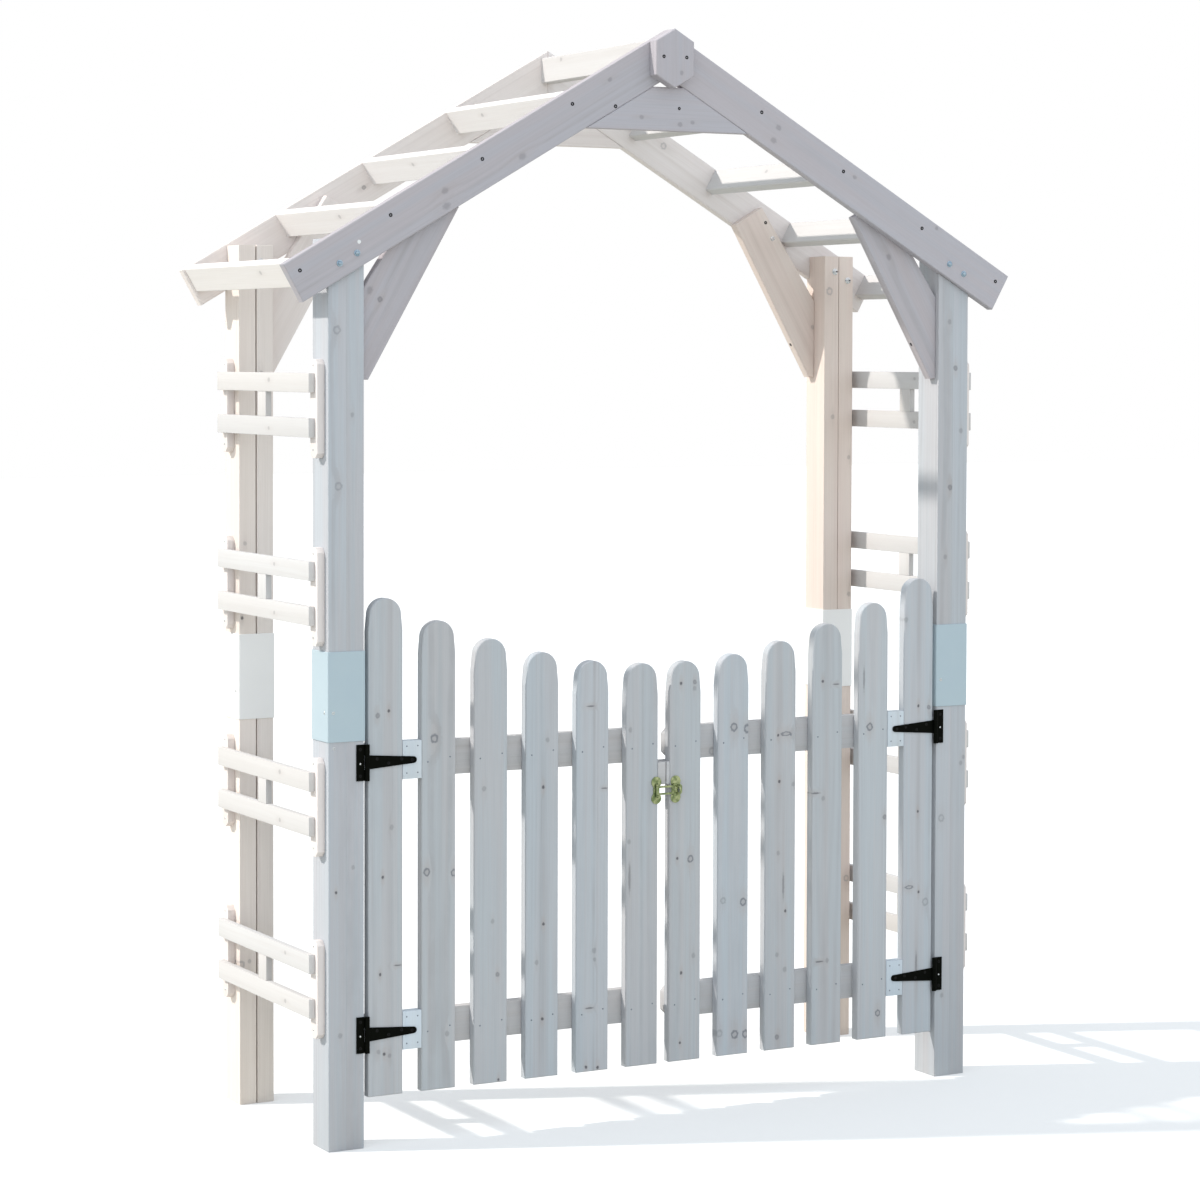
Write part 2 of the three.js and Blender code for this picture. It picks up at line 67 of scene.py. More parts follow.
def node_tree(material):
    material.use_nodes = True
    material.node_tree.nodes.clear()
    return material.node_tree


def add(tree, kind, inputs=None, **settings):
    """A new node. Each of its inputs is a link from a socket or a constant."""
    node = tree.nodes.new(kind)
    for key, value in settings.items():
        setattr(node, key, value)
    for key, value in (inputs or {}).items():
        if isinstance(value, bpy.types.NodeSocket):
            tree.links.new(value, node.inputs[key])
        else:
            node.inputs[key].default_value = value
    return node


def calc(tree, operation, a, b=0.0, c=0.0):
    return add(tree, "ShaderNodeMath", {0: a, 1: b, 2: c}, operation=operation).outputs[0]


def times(tree, a, b):
    return calc(tree, "MULTIPLY", a, b)


def times_plus(tree, a, b, c):
    return calc(tree, "MULTIPLY_ADD", a, b, c)


def noise(tree, inputs, **settings):
    return add(tree, "ShaderNodeTexNoise", inputs, **settings).outputs["Fac"]


def ramp(tree, value, low, high, to_low=0.0, to_high=1.0):
    inputs = {0: value, 1: low, 2: high, 3: to_low, 4: to_high}
    return add(tree, "ShaderNodeMapRange", inputs, interpolation_type="SMOOTHSTEP").outputs[0]


def mix(tree, factor, a, b):
    inputs = {MIX_FACTOR: factor, MIX_A: a, MIX_B: b}
    return add(tree, "ShaderNodeMix", inputs, data_type="RGBA").outputs[MIX_COLOUR]


def rgb(r, g, b):
    return (r, g, b, 1.0)


def surface(tree, colour, rough, height, strength, distance, specular, metallic=0.0):
    """The shader of a surface with a fine relief, and the material's output."""
    bump = add(tree, "ShaderNodeBump", {"Height": height, "Strength": strength, "Distance": distance})
    shader = add(tree, "ShaderNodeBsdfPrincipled", {
        "Base Color": colour, "Metallic": metallic, "Roughness": rough, "Normal": bump.outputs[0],
        "Specular IOR Level": specular})
    add(tree, "ShaderNodeOutputMaterial", {"Surface": shader.outputs[0]})


def new_group(name, inputs, outputs):
    kinds = {"Vector": "Vector", "Wash": "Color", "Stain": "Color", "Ring": "Color", "Color": "Color"}
    group = bpy.data.node_groups.new(name, "ShaderNodeTree")
    for way, sockets in (("INPUT", inputs), ("OUTPUT", outputs)):
        for title in sockets:
            kind = "NodeSocket" + kinds.get(title, "Float")
            group.interface.new_socket(title, in_out=way, socket_type=kind)
    return group, group.nodes.new("NodeGroupInput").outputs, group.nodes.new("NodeGroupOutput").inputs


# Wood
SUMS = ("Core", "Rim", "Halo", "Bend")  # what the knots of a board add up to
# A knot: half its length along and across the board in mm, how much of it is a ring, and how dark it is
KNOTS = {
    "dot": (3.3, 2.8, 0.0, 0.95), "ring": (6.6, 6.0, 1.0, 0.85), "pale": (6.4, 6.0, 1.0, 0.4),
    "eye": (4.6, 4.2, 0.5, 0.75), "faint": (4.4, 3.6, 0.3, 0.4), "dash": (1.7, 8.5, 0.0, 0.7),
    "streak": (27.0, 2.6, 0.0, 0.5), "oval": (3.4, 9.0, 1.0, 0.8), "smear": (7.5, 5.8, 0.1, 0.34),
}
# Where the parts of a knot begin and end, in its own half sizes, and how far its halo and bend spread past it
CORE_FADE, RIM_OUTER_FADE, RIM_INNER_FADE = (1.15, 0.5), (1.4, 1.0), (0.45, 0.85)
HALO_FADE, HALO_SPREAD = (1.5, 0.2), (4.5, 1.7)
BEND_FADE, BEND_SPREAD, BEND_SHARE = (2.2, 0.2), (3.6, 1.5), 0.6
RING_CORE_LOSS, SOLID_RIM_SHARE = 0.85, 0.25
KNOT_NOISE_SCALE, KNOT_NOISE = 230.0, 0.8


def knot_group():
    """One knot, added to those before it: dark core, rim, the stain round it and the bend of the grain."""
    own = ("Vector", "Along", "Across", "Long", "Wide", "Hollow", "Dark")
    group, given, out = new_group("knot", own + SUMS, SUMS)
    axis = add(group, "ShaderNodeSeparateXYZ", {0: given["Vector"]}).outputs
    u = calc(group, "DIVIDE", calc(group, "SUBTRACT", axis[0], given["Along"]), given["Long"])
    v = calc(group, "DIVIDE", calc(group, "SUBTRACT", axis[1], given["Across"]), given["Wide"])
    rough = noise(group, {"Vector": given["Vector"], "Scale": KNOT_NOISE_SCALE, "Detail": 2.0})

    def reach(long, wide):
        """How far out a place lies, with the outline roughened."""
        a, b = calc(group, "DIVIDE", u, long), calc(group, "DIVIDE", v, wide)
        span = calc(group, "SQRT", times_plus(group, a, a, times(group, b, b)))
        return times_plus(group, rough, KNOT_NOISE, calc(group, "SUBTRACT", span, KNOT_NOISE / 2))

    span = reach(1.0, 1.0)
    solid = times_plus(group, given["Hollow"], -RING_CORE_LOSS, 1.0)
    band = times(group, ramp(group, span, *RIM_OUTER_FADE), ramp(group, span, *RIM_INNER_FADE))
    hollow = times_plus(group, given["Hollow"], 1 - SOLID_RIM_SHARE, SOLID_RIM_SHARE)
    parts = {
        "Core": times(group, times(group, ramp(group, span, *CORE_FADE), solid), given["Dark"]),
        "Rim": times(group, times(group, band, given["Dark"]), hollow),
        "Halo": times(group, ramp(group, reach(*HALO_SPREAD), *HALO_FADE), given["Dark"]),
        "Bend": times(group, ramp(group, reach(*BEND_SPREAD), *BEND_FADE),
                      times(group, given["Wide"], BEND_SHARE)),
    }
    for title, value in parts.items():
        operation = "ADD" if title == "Bend" else "MAXIMUM"
        group.links.new(calc(group, operation, given[title], value), out[title])
    return group


# Scales of the noise along, across and through the board
WANDER_SCALE, SWAY_SCALE, FIBRE_SCALE = (0.9, 5.0, 5.0), (5.0, 22.0, 22.0), (7.0, 520.0, 520.0)
BAND_SCALE, BROAD_BAND_SCALE, BLOTCH_SCALE = (0.8, 75.0, 25.0), (2.0, 22.0, 9.0), (12.0, 26.0, 26.0)
HEART_BREAK_SCALE = (2.6, 9.0, 9.0)
WANDER, SWAY = 0.02, 0.002  # how far the rings stray, in metres
# Between which levels of its noise each mark shows
LATE_FADE, FIBRE_FADE, BAND_FADE = (0.42, 0.80), (0.35, 0.72), (0.40, 0.60)
BLOTCH_FADE, BREAK_FADE, HEART_FADE = (0.25, 0.7, 0.35, 1.0), (0.3, 0.62), (1.3, 0.0)
BAND_SHARE, FIBRE_SHARE, HALO_SHARE, RIM_SHARE, CORE_SHARE = 0.6, 0.16, 0.34, 0.78, 0.85
HEART_TINT, HALO_TINT = rgb(0.27, 0.24, 0.24), rgb(0.42, 0.35, 0.325)
RIM_TINT, CORE_TINT = rgb(0.13, 0.14, 0.165), rgb(0.07, 0.07, 0.08)
WOOD_ROUGH, LATE_ROUGH, KNOT_ROUGH = 0.86, -0.08, -0.2
LATE_HEIGHT, FIBRE_HEIGHT, KNOT_HEIGHT = 0.35, 0.45, -0.6


def wood_group():
    """The rings of a trunk cut by the board's faces, bent round its knots, under a thin wash."""
    group, given, out = new_group("washed_wood", (
        "Vector", "Seed", "Wash", "Stain", "Ring", "Ring Scale", "Pith Y", "Pith Z", "Grain", "Heart",
        "Heart Wide", "Heart Share", *SUMS), ("Color", "Roughness", "Height"))
    seed = add(group, "ShaderNodeCombineXYZ", {0: given["Seed"], 1: given["Seed"], 2: 0.0}).outputs[0]
    place = add(group, "ShaderNodeVectorMath", {0: given["Vector"], 1: seed}, operation="ADD").outputs[0]

    def marks(scale, detail=2.0, rough=0.5):
        at = add(group, "ShaderNodeVectorMath", {0: place, 1: scale}, operation="MULTIPLY").outputs[0]
        return noise(group, {"Vector": at, "Scale": 1.0, "Detail": detail, "Roughness": rough})

    wander = times_plus(group, marks(WANDER_SCALE, 1.0), WANDER, -WANDER / 2)
    sway = times_plus(group, marks(SWAY_SCALE, 1.0), SWAY, -SWAY / 2)
    axis = add(group, "ShaderNodeSeparateXYZ", {0: given["Vector"]}).outputs
    off_y = calc(group, "SUBTRACT", axis[1], given["Pith Y"])
    off_z = calc(group, "SUBTRACT", axis[2], given["Pith Z"])
    radius = calc(group, "SQRT", times_plus(group, off_y, off_y, times(group, off_z, off_z)))
    radius = calc(group, "ADD", calc(group, "ADD", radius, wander), calc(group, "ADD", sway, given["Bend"]))
    years = {"W": times(group, radius, given["Ring Scale"]), "Scale": 1.0, "Detail": 2.0, "Roughness": 0.55}
    late = ramp(group, noise(group, years, noise_dimensions="1D"), *LATE_FADE)
    fibre = marks(FIBRE_SCALE, 2.0, 0.6)
    band = times_plus(group, marks(BAND_SCALE, 2.0, 0.6), BAND_SHARE,
                      times(group, marks(BROAD_BAND_SCALE, 1.0), 1 - BAND_SHARE))
    blotch = marks(BLOTCH_SCALE, 3.0, 0.6)

    heart = calc(group, "SUBTRACT", calc(group, "ADD", axis[1], sway), given["Heart"])
    heart = calc(group, "DIVIDE", calc(group, "ABSOLUTE", heart), given["Heart Wide"])
    broken = times(group, given["Heart Share"], ramp(group, marks(HEART_BREAK_SCALE), *BREAK_FADE))
    colour = mix(group, ramp(group, band, *BAND_FADE), given["Wash"], given["Stain"])
    share = times(group, times(group, late, given["Grain"]), ramp(group, blotch, *BLOTCH_FADE))
    colour = mix(group, share, colour, given["Ring"])
    colour = mix(group, times(group, ramp(group, fibre, *FIBRE_FADE), FIBRE_SHARE), colour, given["Ring"])
    colour = mix(group, times(group, ramp(group, heart, *HEART_FADE), broken), colour, HEART_TINT)
    colour = mix(group, times(group, given["Halo"], HALO_SHARE), colour, HALO_TINT)
    colour = mix(group, times(group, given["Rim"], RIM_SHARE), colour, RIM_TINT)
    colour = mix(group, times(group, given["Core"], CORE_SHARE), colour, CORE_TINT)
    group.links.new(colour, out["Color"])
    rough = times_plus(group, late, LATE_ROUGH, WOOD_ROUGH)
    group.links.new(times_plus(group, given["Core"], KNOT_ROUGH, rough), out["Roughness"])
    height = times_plus(group, late, LATE_HEIGHT, times(group, fibre, FIBRE_HEIGHT))
    group.links.new(times_plus(group, given["Core"], KNOT_HEIGHT, height), out["Height"])
    return group


KNOT, WOOD = knot_group(), wood_group()

# Wash, stain and ring colour of each kind of board, as lit and shaded copies of one whitewashed wood
TONES = {
    # painted sky shade: the front boards' tones are darkened and blued
    "post": ((0.472, 0.495, 0.528), (0.489, 0.486, 0.509), (0.34, 0.331, 0.347)),
    "gate": ((0.477, 0.507, 0.54), (0.496, 0.499, 0.521), (0.345, 0.343, 0.361)),
    "roof": ((0.455, 0.44, 0.477), (0.47, 0.437, 0.464), (0.33, 0.302, 0.308)),
    # painted light: the rails' tone is lightened against their shade behind the pickets
    "rail": ((0.53, 0.523, 0.535), (0.533, 0.516, 0.521), (0.378, 0.362, 0.352)),
    # painted sky shade: the fillers' tone is blued
    "filler": ((0.60, 0.66, 0.72), (0.61, 0.655, 0.70), (0.45, 0.47, 0.49)),
    # painted bounce light: the rear boards' and rear posts' tones are lightened and warmed
    "rear": ((0.80, 0.74, 0.715), (0.775, 0.71, 0.685), (0.61, 0.54, 0.505)),
    "rear_post": ((0.825, 0.75, 0.70), (0.805, 0.725, 0.675), (0.60, 0.52, 0.465)),
    "bounce_lit_peach": ((0.75, 0.65, 0.59), (0.735, 0.622, 0.565), (0.55, 0.455, 0.40)),
    "ladder": ((0.605, 0.59, 0.585), (0.59, 0.572, 0.565), (0.51, 0.48, 0.465)),
    # painted bounce light and sunlight: the battens' and left purlins' tones are lightened
    "batten": ((0.79, 0.725, 0.70), (0.77, 0.705, 0.68), (0.64, 0.57, 0.535)),
    "purlin": ((0.80, 0.765, 0.75), (0.78, 0.74, 0.72), (0.67, 0.62, 0.595)),
}
WOOD_RELIEF, WOOD_SPECULAR = (0.35, 0.0006), 0.2
# How one board differs from the next
LIGHT_RANGE, WARM_RANGE, GRAIN_RANGE, KNOT_GROWTH = (0.965, 1.03), (-0.012, 0.012), (0.75, 1.15), (0.85, 1.15)
PITH_AWAY, PITH_ACROSS, RINGS_RANGE, SEED_RANGE = (0.03, 0.09), (-0.03, 0.03), (110, 190), (2, 60)
KNOT_SPACING, KNOT_CHANCE, KNOT_RANGE = 520, 1.5, (-0.42, 0.42)
NO_HEART = (0, 4, 0)


def some_knots(draw, length, width):
    """A board's own few knots, about one to half a metre, where none is given."""
    kinds = ("eye", "faint", "faint", "faint", "pale", "pale", "dot", "faint")
    return [(draw.choice(kinds), draw.uniform(*KNOT_RANGE) * length, draw.uniform(*KNOT_RANGE) * width)
            for _ in range(int(length / KNOT_SPACING + draw.random() * KNOT_CHANCE))]


def wood(name, tone, centre, length, width, seed, size=(500, 60), knots=None, heart=None, grain=0.45):
    """One board's own cut of wood. The grain runs along length, and width is the board's broad way; size is both
    in mm. A knot is its kind and its place along and across, from the centre. A heart is a dark line along the
    board: its place across, half its width and its share."""
    draw = random.Random(seed)
    length, width = Vector(length).normalized(), Vector(width).normalized()
    turn = Matrix((length, width, length.cross(width)))
    material = bpy.data.materials.new(f"wood_{name}")
    tree = node_tree(material)
    here = add(tree, "ShaderNodeTexCoord").outputs["Object"]
    place = add(tree, "ShaderNodeMapping", {"Vector": here, "Location": -(turn @ (Vector(centre) * MM)),
                                            "Rotation": turn.to_euler()}).outputs[0]
    light, warm = draw.uniform(*LIGHT_RANGE), draw.uniform(*WARM_RANGE)

    def tinted(colour):
        return rgb(colour[0] * light * (1 + warm), colour[1] * light, colour[2] * light * (1 - warm))

    wash, stain, ring = (tinted(colour) for colour in TONES[tone])
    away = draw.uniform(*PITH_AWAY) * draw.choice((-1, 1))
    heart_across, heart_wide, heart_share = heart or NO_HEART
    values = {"Vector": place, "Seed": draw.uniform(*SEED_RANGE), "Wash": wash, "Stain": stain, "Ring": ring,
              "Ring Scale": draw.uniform(*RINGS_RANGE), "Pith Y": draw.uniform(*PITH_ACROSS), "Pith Z": away,
              "Grain": grain * draw.uniform(*GRAIN_RANGE), "Heart": heart_across * MM,
              "Heart Wide": heart_wide * MM, "Heart Share": heart_share}
    if knots is None:
        knots = some_knots(draw, *size)
    sums = dict.fromkeys(SUMS, 0.0)
    for kind, along, across in knots:
        long, wide, hollow, dark = KNOTS[kind]
        grow = draw.uniform(*KNOT_GROWTH)
        own = {"Vector": place, "Along": along * MM, "Across": across * MM, "Long": long * grow * MM,
               "Wide": wide * grow * MM, "Hollow": hollow, "Dark": dark}
        knot = add(tree, "ShaderNodeGroup", {**own, **sums}, node_tree=KNOT)
        sums = {title: knot.outputs[title] for title in sums}
    board = add(tree, "ShaderNodeGroup", {**values, **sums}, node_tree=WOOD).outputs
    surface(tree, board["Color"], board["Roughness"], board["Height"], *WOOD_RELIEF, WOOD_SPECULAR)
    return material


# Coated metal
PATCH_FADE, PATCH_ROUGH_FADE, SKIN_SCALE, SKIN_RELIEF = (0.35, 0.68, 0.0), (0.3, 0.7), 700.0, (0.4, 0.00008)


def coated(name, base, other, rough, metallic=0.0, scale=60.0, share=0.5, specular=0.5):
    """Metal under paint or plating: patches of two colours and the fine skin of the coat."""
    material = bpy.data.materials.new(name)
    tree = node_tree(material)
    here = add(tree, "ShaderNodeTexCoord").outputs["Object"]
    patch = noise(tree, {"Vector": here, "Scale": scale, "Detail": 3.0})
    skin = noise(tree, {"Vector": here, "Scale": SKIN_SCALE, "Detail": 2.0})
    colour = mix(tree, ramp(tree, patch, *PATCH_FADE, share), rgb(*base), rgb(*other))
    rough = ramp(tree, patch, *PATCH_ROUGH_FADE, *rough)
    surface(tree, colour, rough, skin, *SKIN_RELIEF, specular, metallic)
    return material


BLACK = coated("black_coat", (0.0015, 0.002, 0.001), (0.004, 0.0045, 0.003), (0.5, 0.7), specular=0.05)
# one coat in lit and shaded copies: blue-grey on the front sleeves as painted sky shade, near white on the rear
# ones as painted light
SLEEVE = coated("sleeve_coat", (0.43, 0.52, 0.575), (0.447, 0.535, 0.58), (0.42, 0.55), scale=18.0, specular=0.3)
LIT_REAR_SLEEVE = coated("lit_rear_sleeve_coat", (0.87, 0.855, 0.84), (0.885, 0.87, 0.855), (0.42, 0.55), scale=18.0,
                     specular=0.3)
YELLOW = coated("yellow_plate", (0.44, 0.48, 0.26), (0.13, 0.19, 0.07), (0.2, 0.38), 0.8, 110.0, share=0.85)
BRIGHT = coated("bright_plate", (0.74, 0.76, 0.78), (0.52, 0.56, 0.61), (0.14, 0.3), 0.9, 120.0)
BOLT = coated("bolt_plate", (0.30, 0.42, 0.53), (0.60, 0.70, 0.78), (0.12, 0.28), 0.9, 150.0)
PLUG = coated("wood_plug", (0.80, 0.80, 0.80), (0.70, 0.71, 0.73), (0.7, 0.85), 0.0, 200.0, specular=0.2)
DARK = coated("dark_screw", (0.006, 0.006, 0.007), (0.018, 0.017, 0.016), (0.4, 0.6), 0.0, 200.0, specular=0.15)
NAIL = coated("nail_head", (0.20, 0.23, 0.27), (0.11, 0.125, 0.15), (0.4, 0.6), 0.3, 200.0)


# Piece helpers
# How far edges are eased, in mm
BOARD_EDGE, BLOCK_EDGE, THIN_EDGE, PLATE_EDGE, SEAM_EDGE = 1.3, 1.0, 0.9, 0.45, 0.12
SHARP_EDGE, EDGE_PROFILE, ON_SEAM = 0.2, 0.6, 1e-5


def finish_piece(name, work, material, body, smooth=35):
    """A mesh in the making becomes a piece."""
    mesh = bpy.data.meshes.new(name)
    work.to_mesh(mesh)
    work.free()
    mesh.materials.append(material)
    for face in mesh.polygons:
        face.use_smooth = True
    mesh.set_sharp_from_angle(angle=math.radians(smooth))
    piece = bpy.data.objects.new(name, mesh)
    bpy.context.scene.collection.objects.link(piece)
    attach(piece, body)
    return piece


def bridge(work, a, b):
    """Faces between two closed rings with as many points."""
    for i in range(len(a)):
        j = (i + 1) % len(a)
        work.faces.new((a[i], a[j], b[j], b[i]))


def loft(name, low, high, material, body, slot, ease=BOARD_EDGE, seam=None):
    """A closed board between two outlines in mm with as many points, its edges rounded over. The edges in the
    plane x = seam are only just broken."""
    work = bmesh.new()
    rings = [[work.verts.new(Vector(p) * MM) for p in ring] for ring in (low, high)]
    work.faces.new(rings[0][::-1])
    work.faces.new(rings[1])
    bridge(work, *rings)
    bmesh.ops.recalc_face_normals(work, faces=work.faces)

    def on_seam(edge):
        return seam is not None and all(abs(vert.co.x - seam * MM) < ON_SEAM for vert in edge.verts)

    for fine, offset, segments in ((False, ease, 2), (True, SEAM_EDGE, 1)):
        chosen = [edge for edge in work.edges
                  if on_seam(edge) == fine and edge.calc_face_angle(0) > SHARP_EDGE]
        if chosen:
            bmesh.ops.bevel(work, geom=chosen, offset=offset * MM, segments=segments, profile=EDGE_PROFILE,
                            affect="EDGES", clamp_overlap=True)
    return finish_piece(name, work, material, body)


def slab(name, outline, axis, low, high, material, body, slot, ease=BOARD_EDGE, seam=None):
    """A board with an outline of the two other axes, in their order, from low to high along the axis."""
    def at(a, b, level):
        place = [a, b]
        place.insert("XYZ".index(axis), level)
        return place

    ends = ([at(a, b, level) for a, b in outline] for level in (low, high))
    return loft(name, *ends, material, body, slot, ease, seam)


def box_points(a, b, c, d):
    return [(a, c), (b, c), (b, d), (a, d)]


def cut_points(a, b, c, d, corner):
    return [(a + corner, c), (b - corner, c), (b, c + corner), (b, d - corner),
            (b - corner, d), (a + corner, d), (a, d - corner), (a, c + corner)]


def mirrored(side, outline):
    return [(side * a, b) for a, b in outline]


def spread(sign, a, b):
    """Both places on the side of that sign, the lower one first."""
    return sorted((sign * a, sign * b))


# Heads of fasteners from their face outwards: radius as a share of the head's, and level in mm
HEAD_PROFILES = {
    "screw": ((1, -0.8), (1, 0.25), (0.9, 0.5)),
    "nail": ((1, -0.6), (1, 0.15), (0.7, 0.45), (0.3, 0.55)),
    "bolt": ((1.45, -0.5), (1.45, 0.9), (1.35, 1.2), (1.02, 1.2), (1, 1.5), (0.93, 2.9), (0.7, 4.1),
             (0.36, 4.7)),
    "nut": ((1.4, -0.5), (1.4, 0.9), (1.3, 1.2)),
}
HEAD_SIDES = 20
NUT_TUBES = ((6, ((1, 1.2), (1, 4.6), (0.86, 5.2))), (14, ((0.55, 5.2), (0.55, 7.4), (0.42, 8.0))))
RECESS_LEVEL, RECESS_ARM, RECESS_SLIT, RECESS_TAPER = 0.5, 0.58, 0.15, 0.8
FASTENERS = {  # form of the head, its radius in mm, material and slot
    "sleeve_screw": ("screw", 3.0, BRIGHT, "sleeve_steel"),
    "post_screw": ("screw", 3.0, BRIGHT, "post_timber"),
    "batten_screw": ("screw", 2.6, BRIGHT, "ladder_timber"),
    "filler_nail": ("nail", 1.4, NAIL, "gate_timber"),
    "picket_nail": ("nail", 1.5, NAIL, "gate_timber"),
    "hinge_screw": ("screw", 2.9, DARK, "black_steel"),
    "hinge_rivet": ("nail", 1.7, BRIGHT, "sleeve_steel"),
    "latch_screw": ("screw", 3.4, YELLOW, "yellow_zinc"),
    "rafter_screw": ("screw", 3.6, DARK, "black_steel"),
    "frame_screw": ("screw", 3.4, DARK, "black_steel"),
    "gusset_screw": ("screw", 3.0, DARK, "black_steel"),
    "bolt": ("bolt", 4.2, BOLT, "sleeve_steel"),
    "nut": ("nut", 4.8, BRIGHT, "sleeve_steel"),
    # a dark dot on the end of each nut's bolt: a painted dark reflection in the chrome
    "bolt_end": ("nail", 1.7, DARK, "black_steel"),
    "peg": ("screw", 4.8, BRIGHT, "sleeve_steel"),
    "plug": ("nail", 3.6, PLUG, "post_timber"),
}


def heads(name, fastener, points, out, body="frame"):
    """Heads of fasteners that stand on a face: a screw has a cross recess, a nail is a low dome, a bolt a high
    dome on a washer and a nut six sides with the end of its bolt. Points are in mm on the face, and out is where
    it looks."""
    kind, radius, material, slot = FASTENERS[fastener]
    out = Vector(out).normalized()
    side = out.cross(Z if abs(out.z) < 0.9 else X).normalized()
    up = side.cross(out)
    draw = random.Random(name)
    work = bmesh.new()

    def stack(centre, profile, sides=HEAD_SIDES, spin=0.0):
        """Rings on each other over a closed bottom. Returns the top one."""
        turns = [spin + math.tau * i / sides for i in range(sides)]
        rings = [[work.verts.new(centre + (side * math.cos(a) + up * math.sin(a)) * (radius * share) * MM
                                 + out * level * MM) for a in turns] for share, level in profile]
        work.faces.new(rings[0][::-1])
        for a, b in zip(rings, rings[1:]):
            bridge(work, a, b)
        return rings[-1]

    def cross_recess(centre, rim, spin):
        arm, slit = radius * RECESS_ARM, radius * RECESS_SLIT
        cross = []
        for quarter in range(4):
            a = spin + quarter * math.pi / 2
            along = side * math.cos(a) + up * math.sin(a)
            beside = -side * math.sin(a) + up * math.cos(a)
            cross += [along * arm - beside * slit, along * arm + beside * slit, along * slit + beside * slit]
        top = [work.verts.new(centre + p * MM + out * RECESS_LEVEL * MM) for p in cross]
        deep = [work.verts.new(centre + p * MM * RECESS_TAPER - out * RECESS_LEVEL * MM) for p in cross]
        edges = []
        for loop in (rim, top):
            for pair in zip(loop, loop[1:] + loop[:1]):
                edges.append(work.edges.get(pair) or work.edges.new(pair))
        bmesh.ops.triangle_fill(work, edges=edges, use_beauty=True, use_dissolve=False, normal=out)
        bridge(work, top, deep)
        work.faces.new(deep)

    for point in points:
        centre = Vector(point) * MM
        spin = draw.uniform(0, math.tau)
        rim = stack(centre, HEAD_PROFILES[kind])
        if kind == "screw":
            cross_recess(centre, rim, spin)
            continue
        work.faces.new(rim)
        if kind == "nut":
            for sides, tube in NUT_TUBES:
                work.faces.new(stack(centre, tube, sides, spin))
    bmesh.ops.recalc_face_normals(work, faces=work.faces)
    return finish_piece(name, work, material, body, 40)


def roof_line(x):
    return APEX - abs(x) * math.tan(PITCH)


def underside(x):
    return roof_line(x) - RAFTER_DEPTH / math.cos(PITCH)


def slope_point(along, down, side):
    """A point of the roof in x and z: so far down the slope, and so far in, square to it."""
    return (side * (along * math.cos(PITCH) - down * math.sin(PITCH)),
            APEX - along * math.sin(PITCH) - down * math.cos(PITCH))


def paint(node, material):
    piece = NODES[node]
    for slot in piece.material_slots:
        slot.link = "OBJECT"
        slot.material = material
    if not piece.material_slots:
        piece.data.materials.append(material)


# Posts and sleeves
POST_TONES = {  # tone, and half the gap between a post's two boards
    # painted sky shade on the front posts' tone, painted bounce light on the rear posts' lighter, warmer tones
    "front_left": ("post", 0.02), "front_right": ("post", 0.02), "rear_left": ("rear_post", 1.4),
    "rear_right": ("bounce_lit_peach", 0.7),
}
POST_KNOTS = {  # of the post boards that face the front: kind, height and place across from the seam
    "front_left_left_upper": (("pale", 1482, -18), ("pale", 1202, -15)),
    "front_left_left_lower": (("dot", 470, -20), ("faint", 210, -12)),
    "front_left_right_upper": (("faint", 1330, 12),),
    "front_right_left_upper": (("faint", 1506, -9), ("eye", 1177, -5), ("faint", 1039, -16)),
    "front_right_right_upper": (("eye", 1414, 6), ("faint", 1290, 20)),
    "rear_right_left_upper": (("pale", 1573, -23), ("faint", 1310, -14)),
}
LOWER_TOP, UPPER_FOOT = 822.6, 823.4  # where the halves of a post meet, inside the sleeve
LOWER_MIDDLE, UPPER_MIDDLE, HALF_SIZE = 400, 1240, (800, 34)
SLEEVE_SCREW_RISE, SLEEVE_SCREW_FACE, SLEEVE_SCREW_SIDE = 53, -26, -22
POST_SCREW_DROP, POST_SCREW_ACROSS = 11, -24


def post(face_name, face, side_name, side):
    name = f"{face_name}_{side_name}"
    mid_x, mid_y = side * (OUTER_X - POST / 2), face * (OUTER_Y - POST / 2)
    tone, gap = POST_TONES[name]
    near, far, rebate = face * (OUTER_Y - POST), face * OUTER_Y, face * RAFTER_BACK
    halves = (("left", mid_x - POST / 2, mid_x - gap), ("right", mid_x + gap, mid_x + POST / 2))
    for half, x0, x1 in halves:
        seam = x1 if half == "left" else x0
        centre_x = (x0 + x1) / 2

        def board(level, middle):
            title = f"{name}_{half}_{level}"
            knots = POST_KNOTS.get(title)
            if knots is not None:
                knots = [(kind, z - middle, mid_x + across - centre_x) for kind, z, across in knots]
            return wood(title, tone, (centre_x, mid_y, middle), Z, X, title, HALF_SIZE, knots, grain=0.4)

        def outline(x):
            level = underside(x) - SEAT
            return [(x, near, UPPER_FOOT), (x, far, UPPER_FOOT), (x, far, level), (x, rebate, level),
                    (x, rebate, POST_HEIGHT), (x, near, POST_HEIGHT)]

        slab(f"{name}_post_{half}_lower", box_points(x0, x1, *sorted((near, far))), "Z", 0,
                         LOWER_TOP, board("lower", LOWER_MIDDLE), "frame", "post_timber", seam=seam)
        loft(f"{name}_post_{half}_upper", outline(x0), outline(x1), board("upper", UPPER_MIDDLE),
                         "frame", "post_timber", seam=seam)
    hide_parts(f"{name}_post")
    sleeve(name, mid_x, mid_y, face, side)


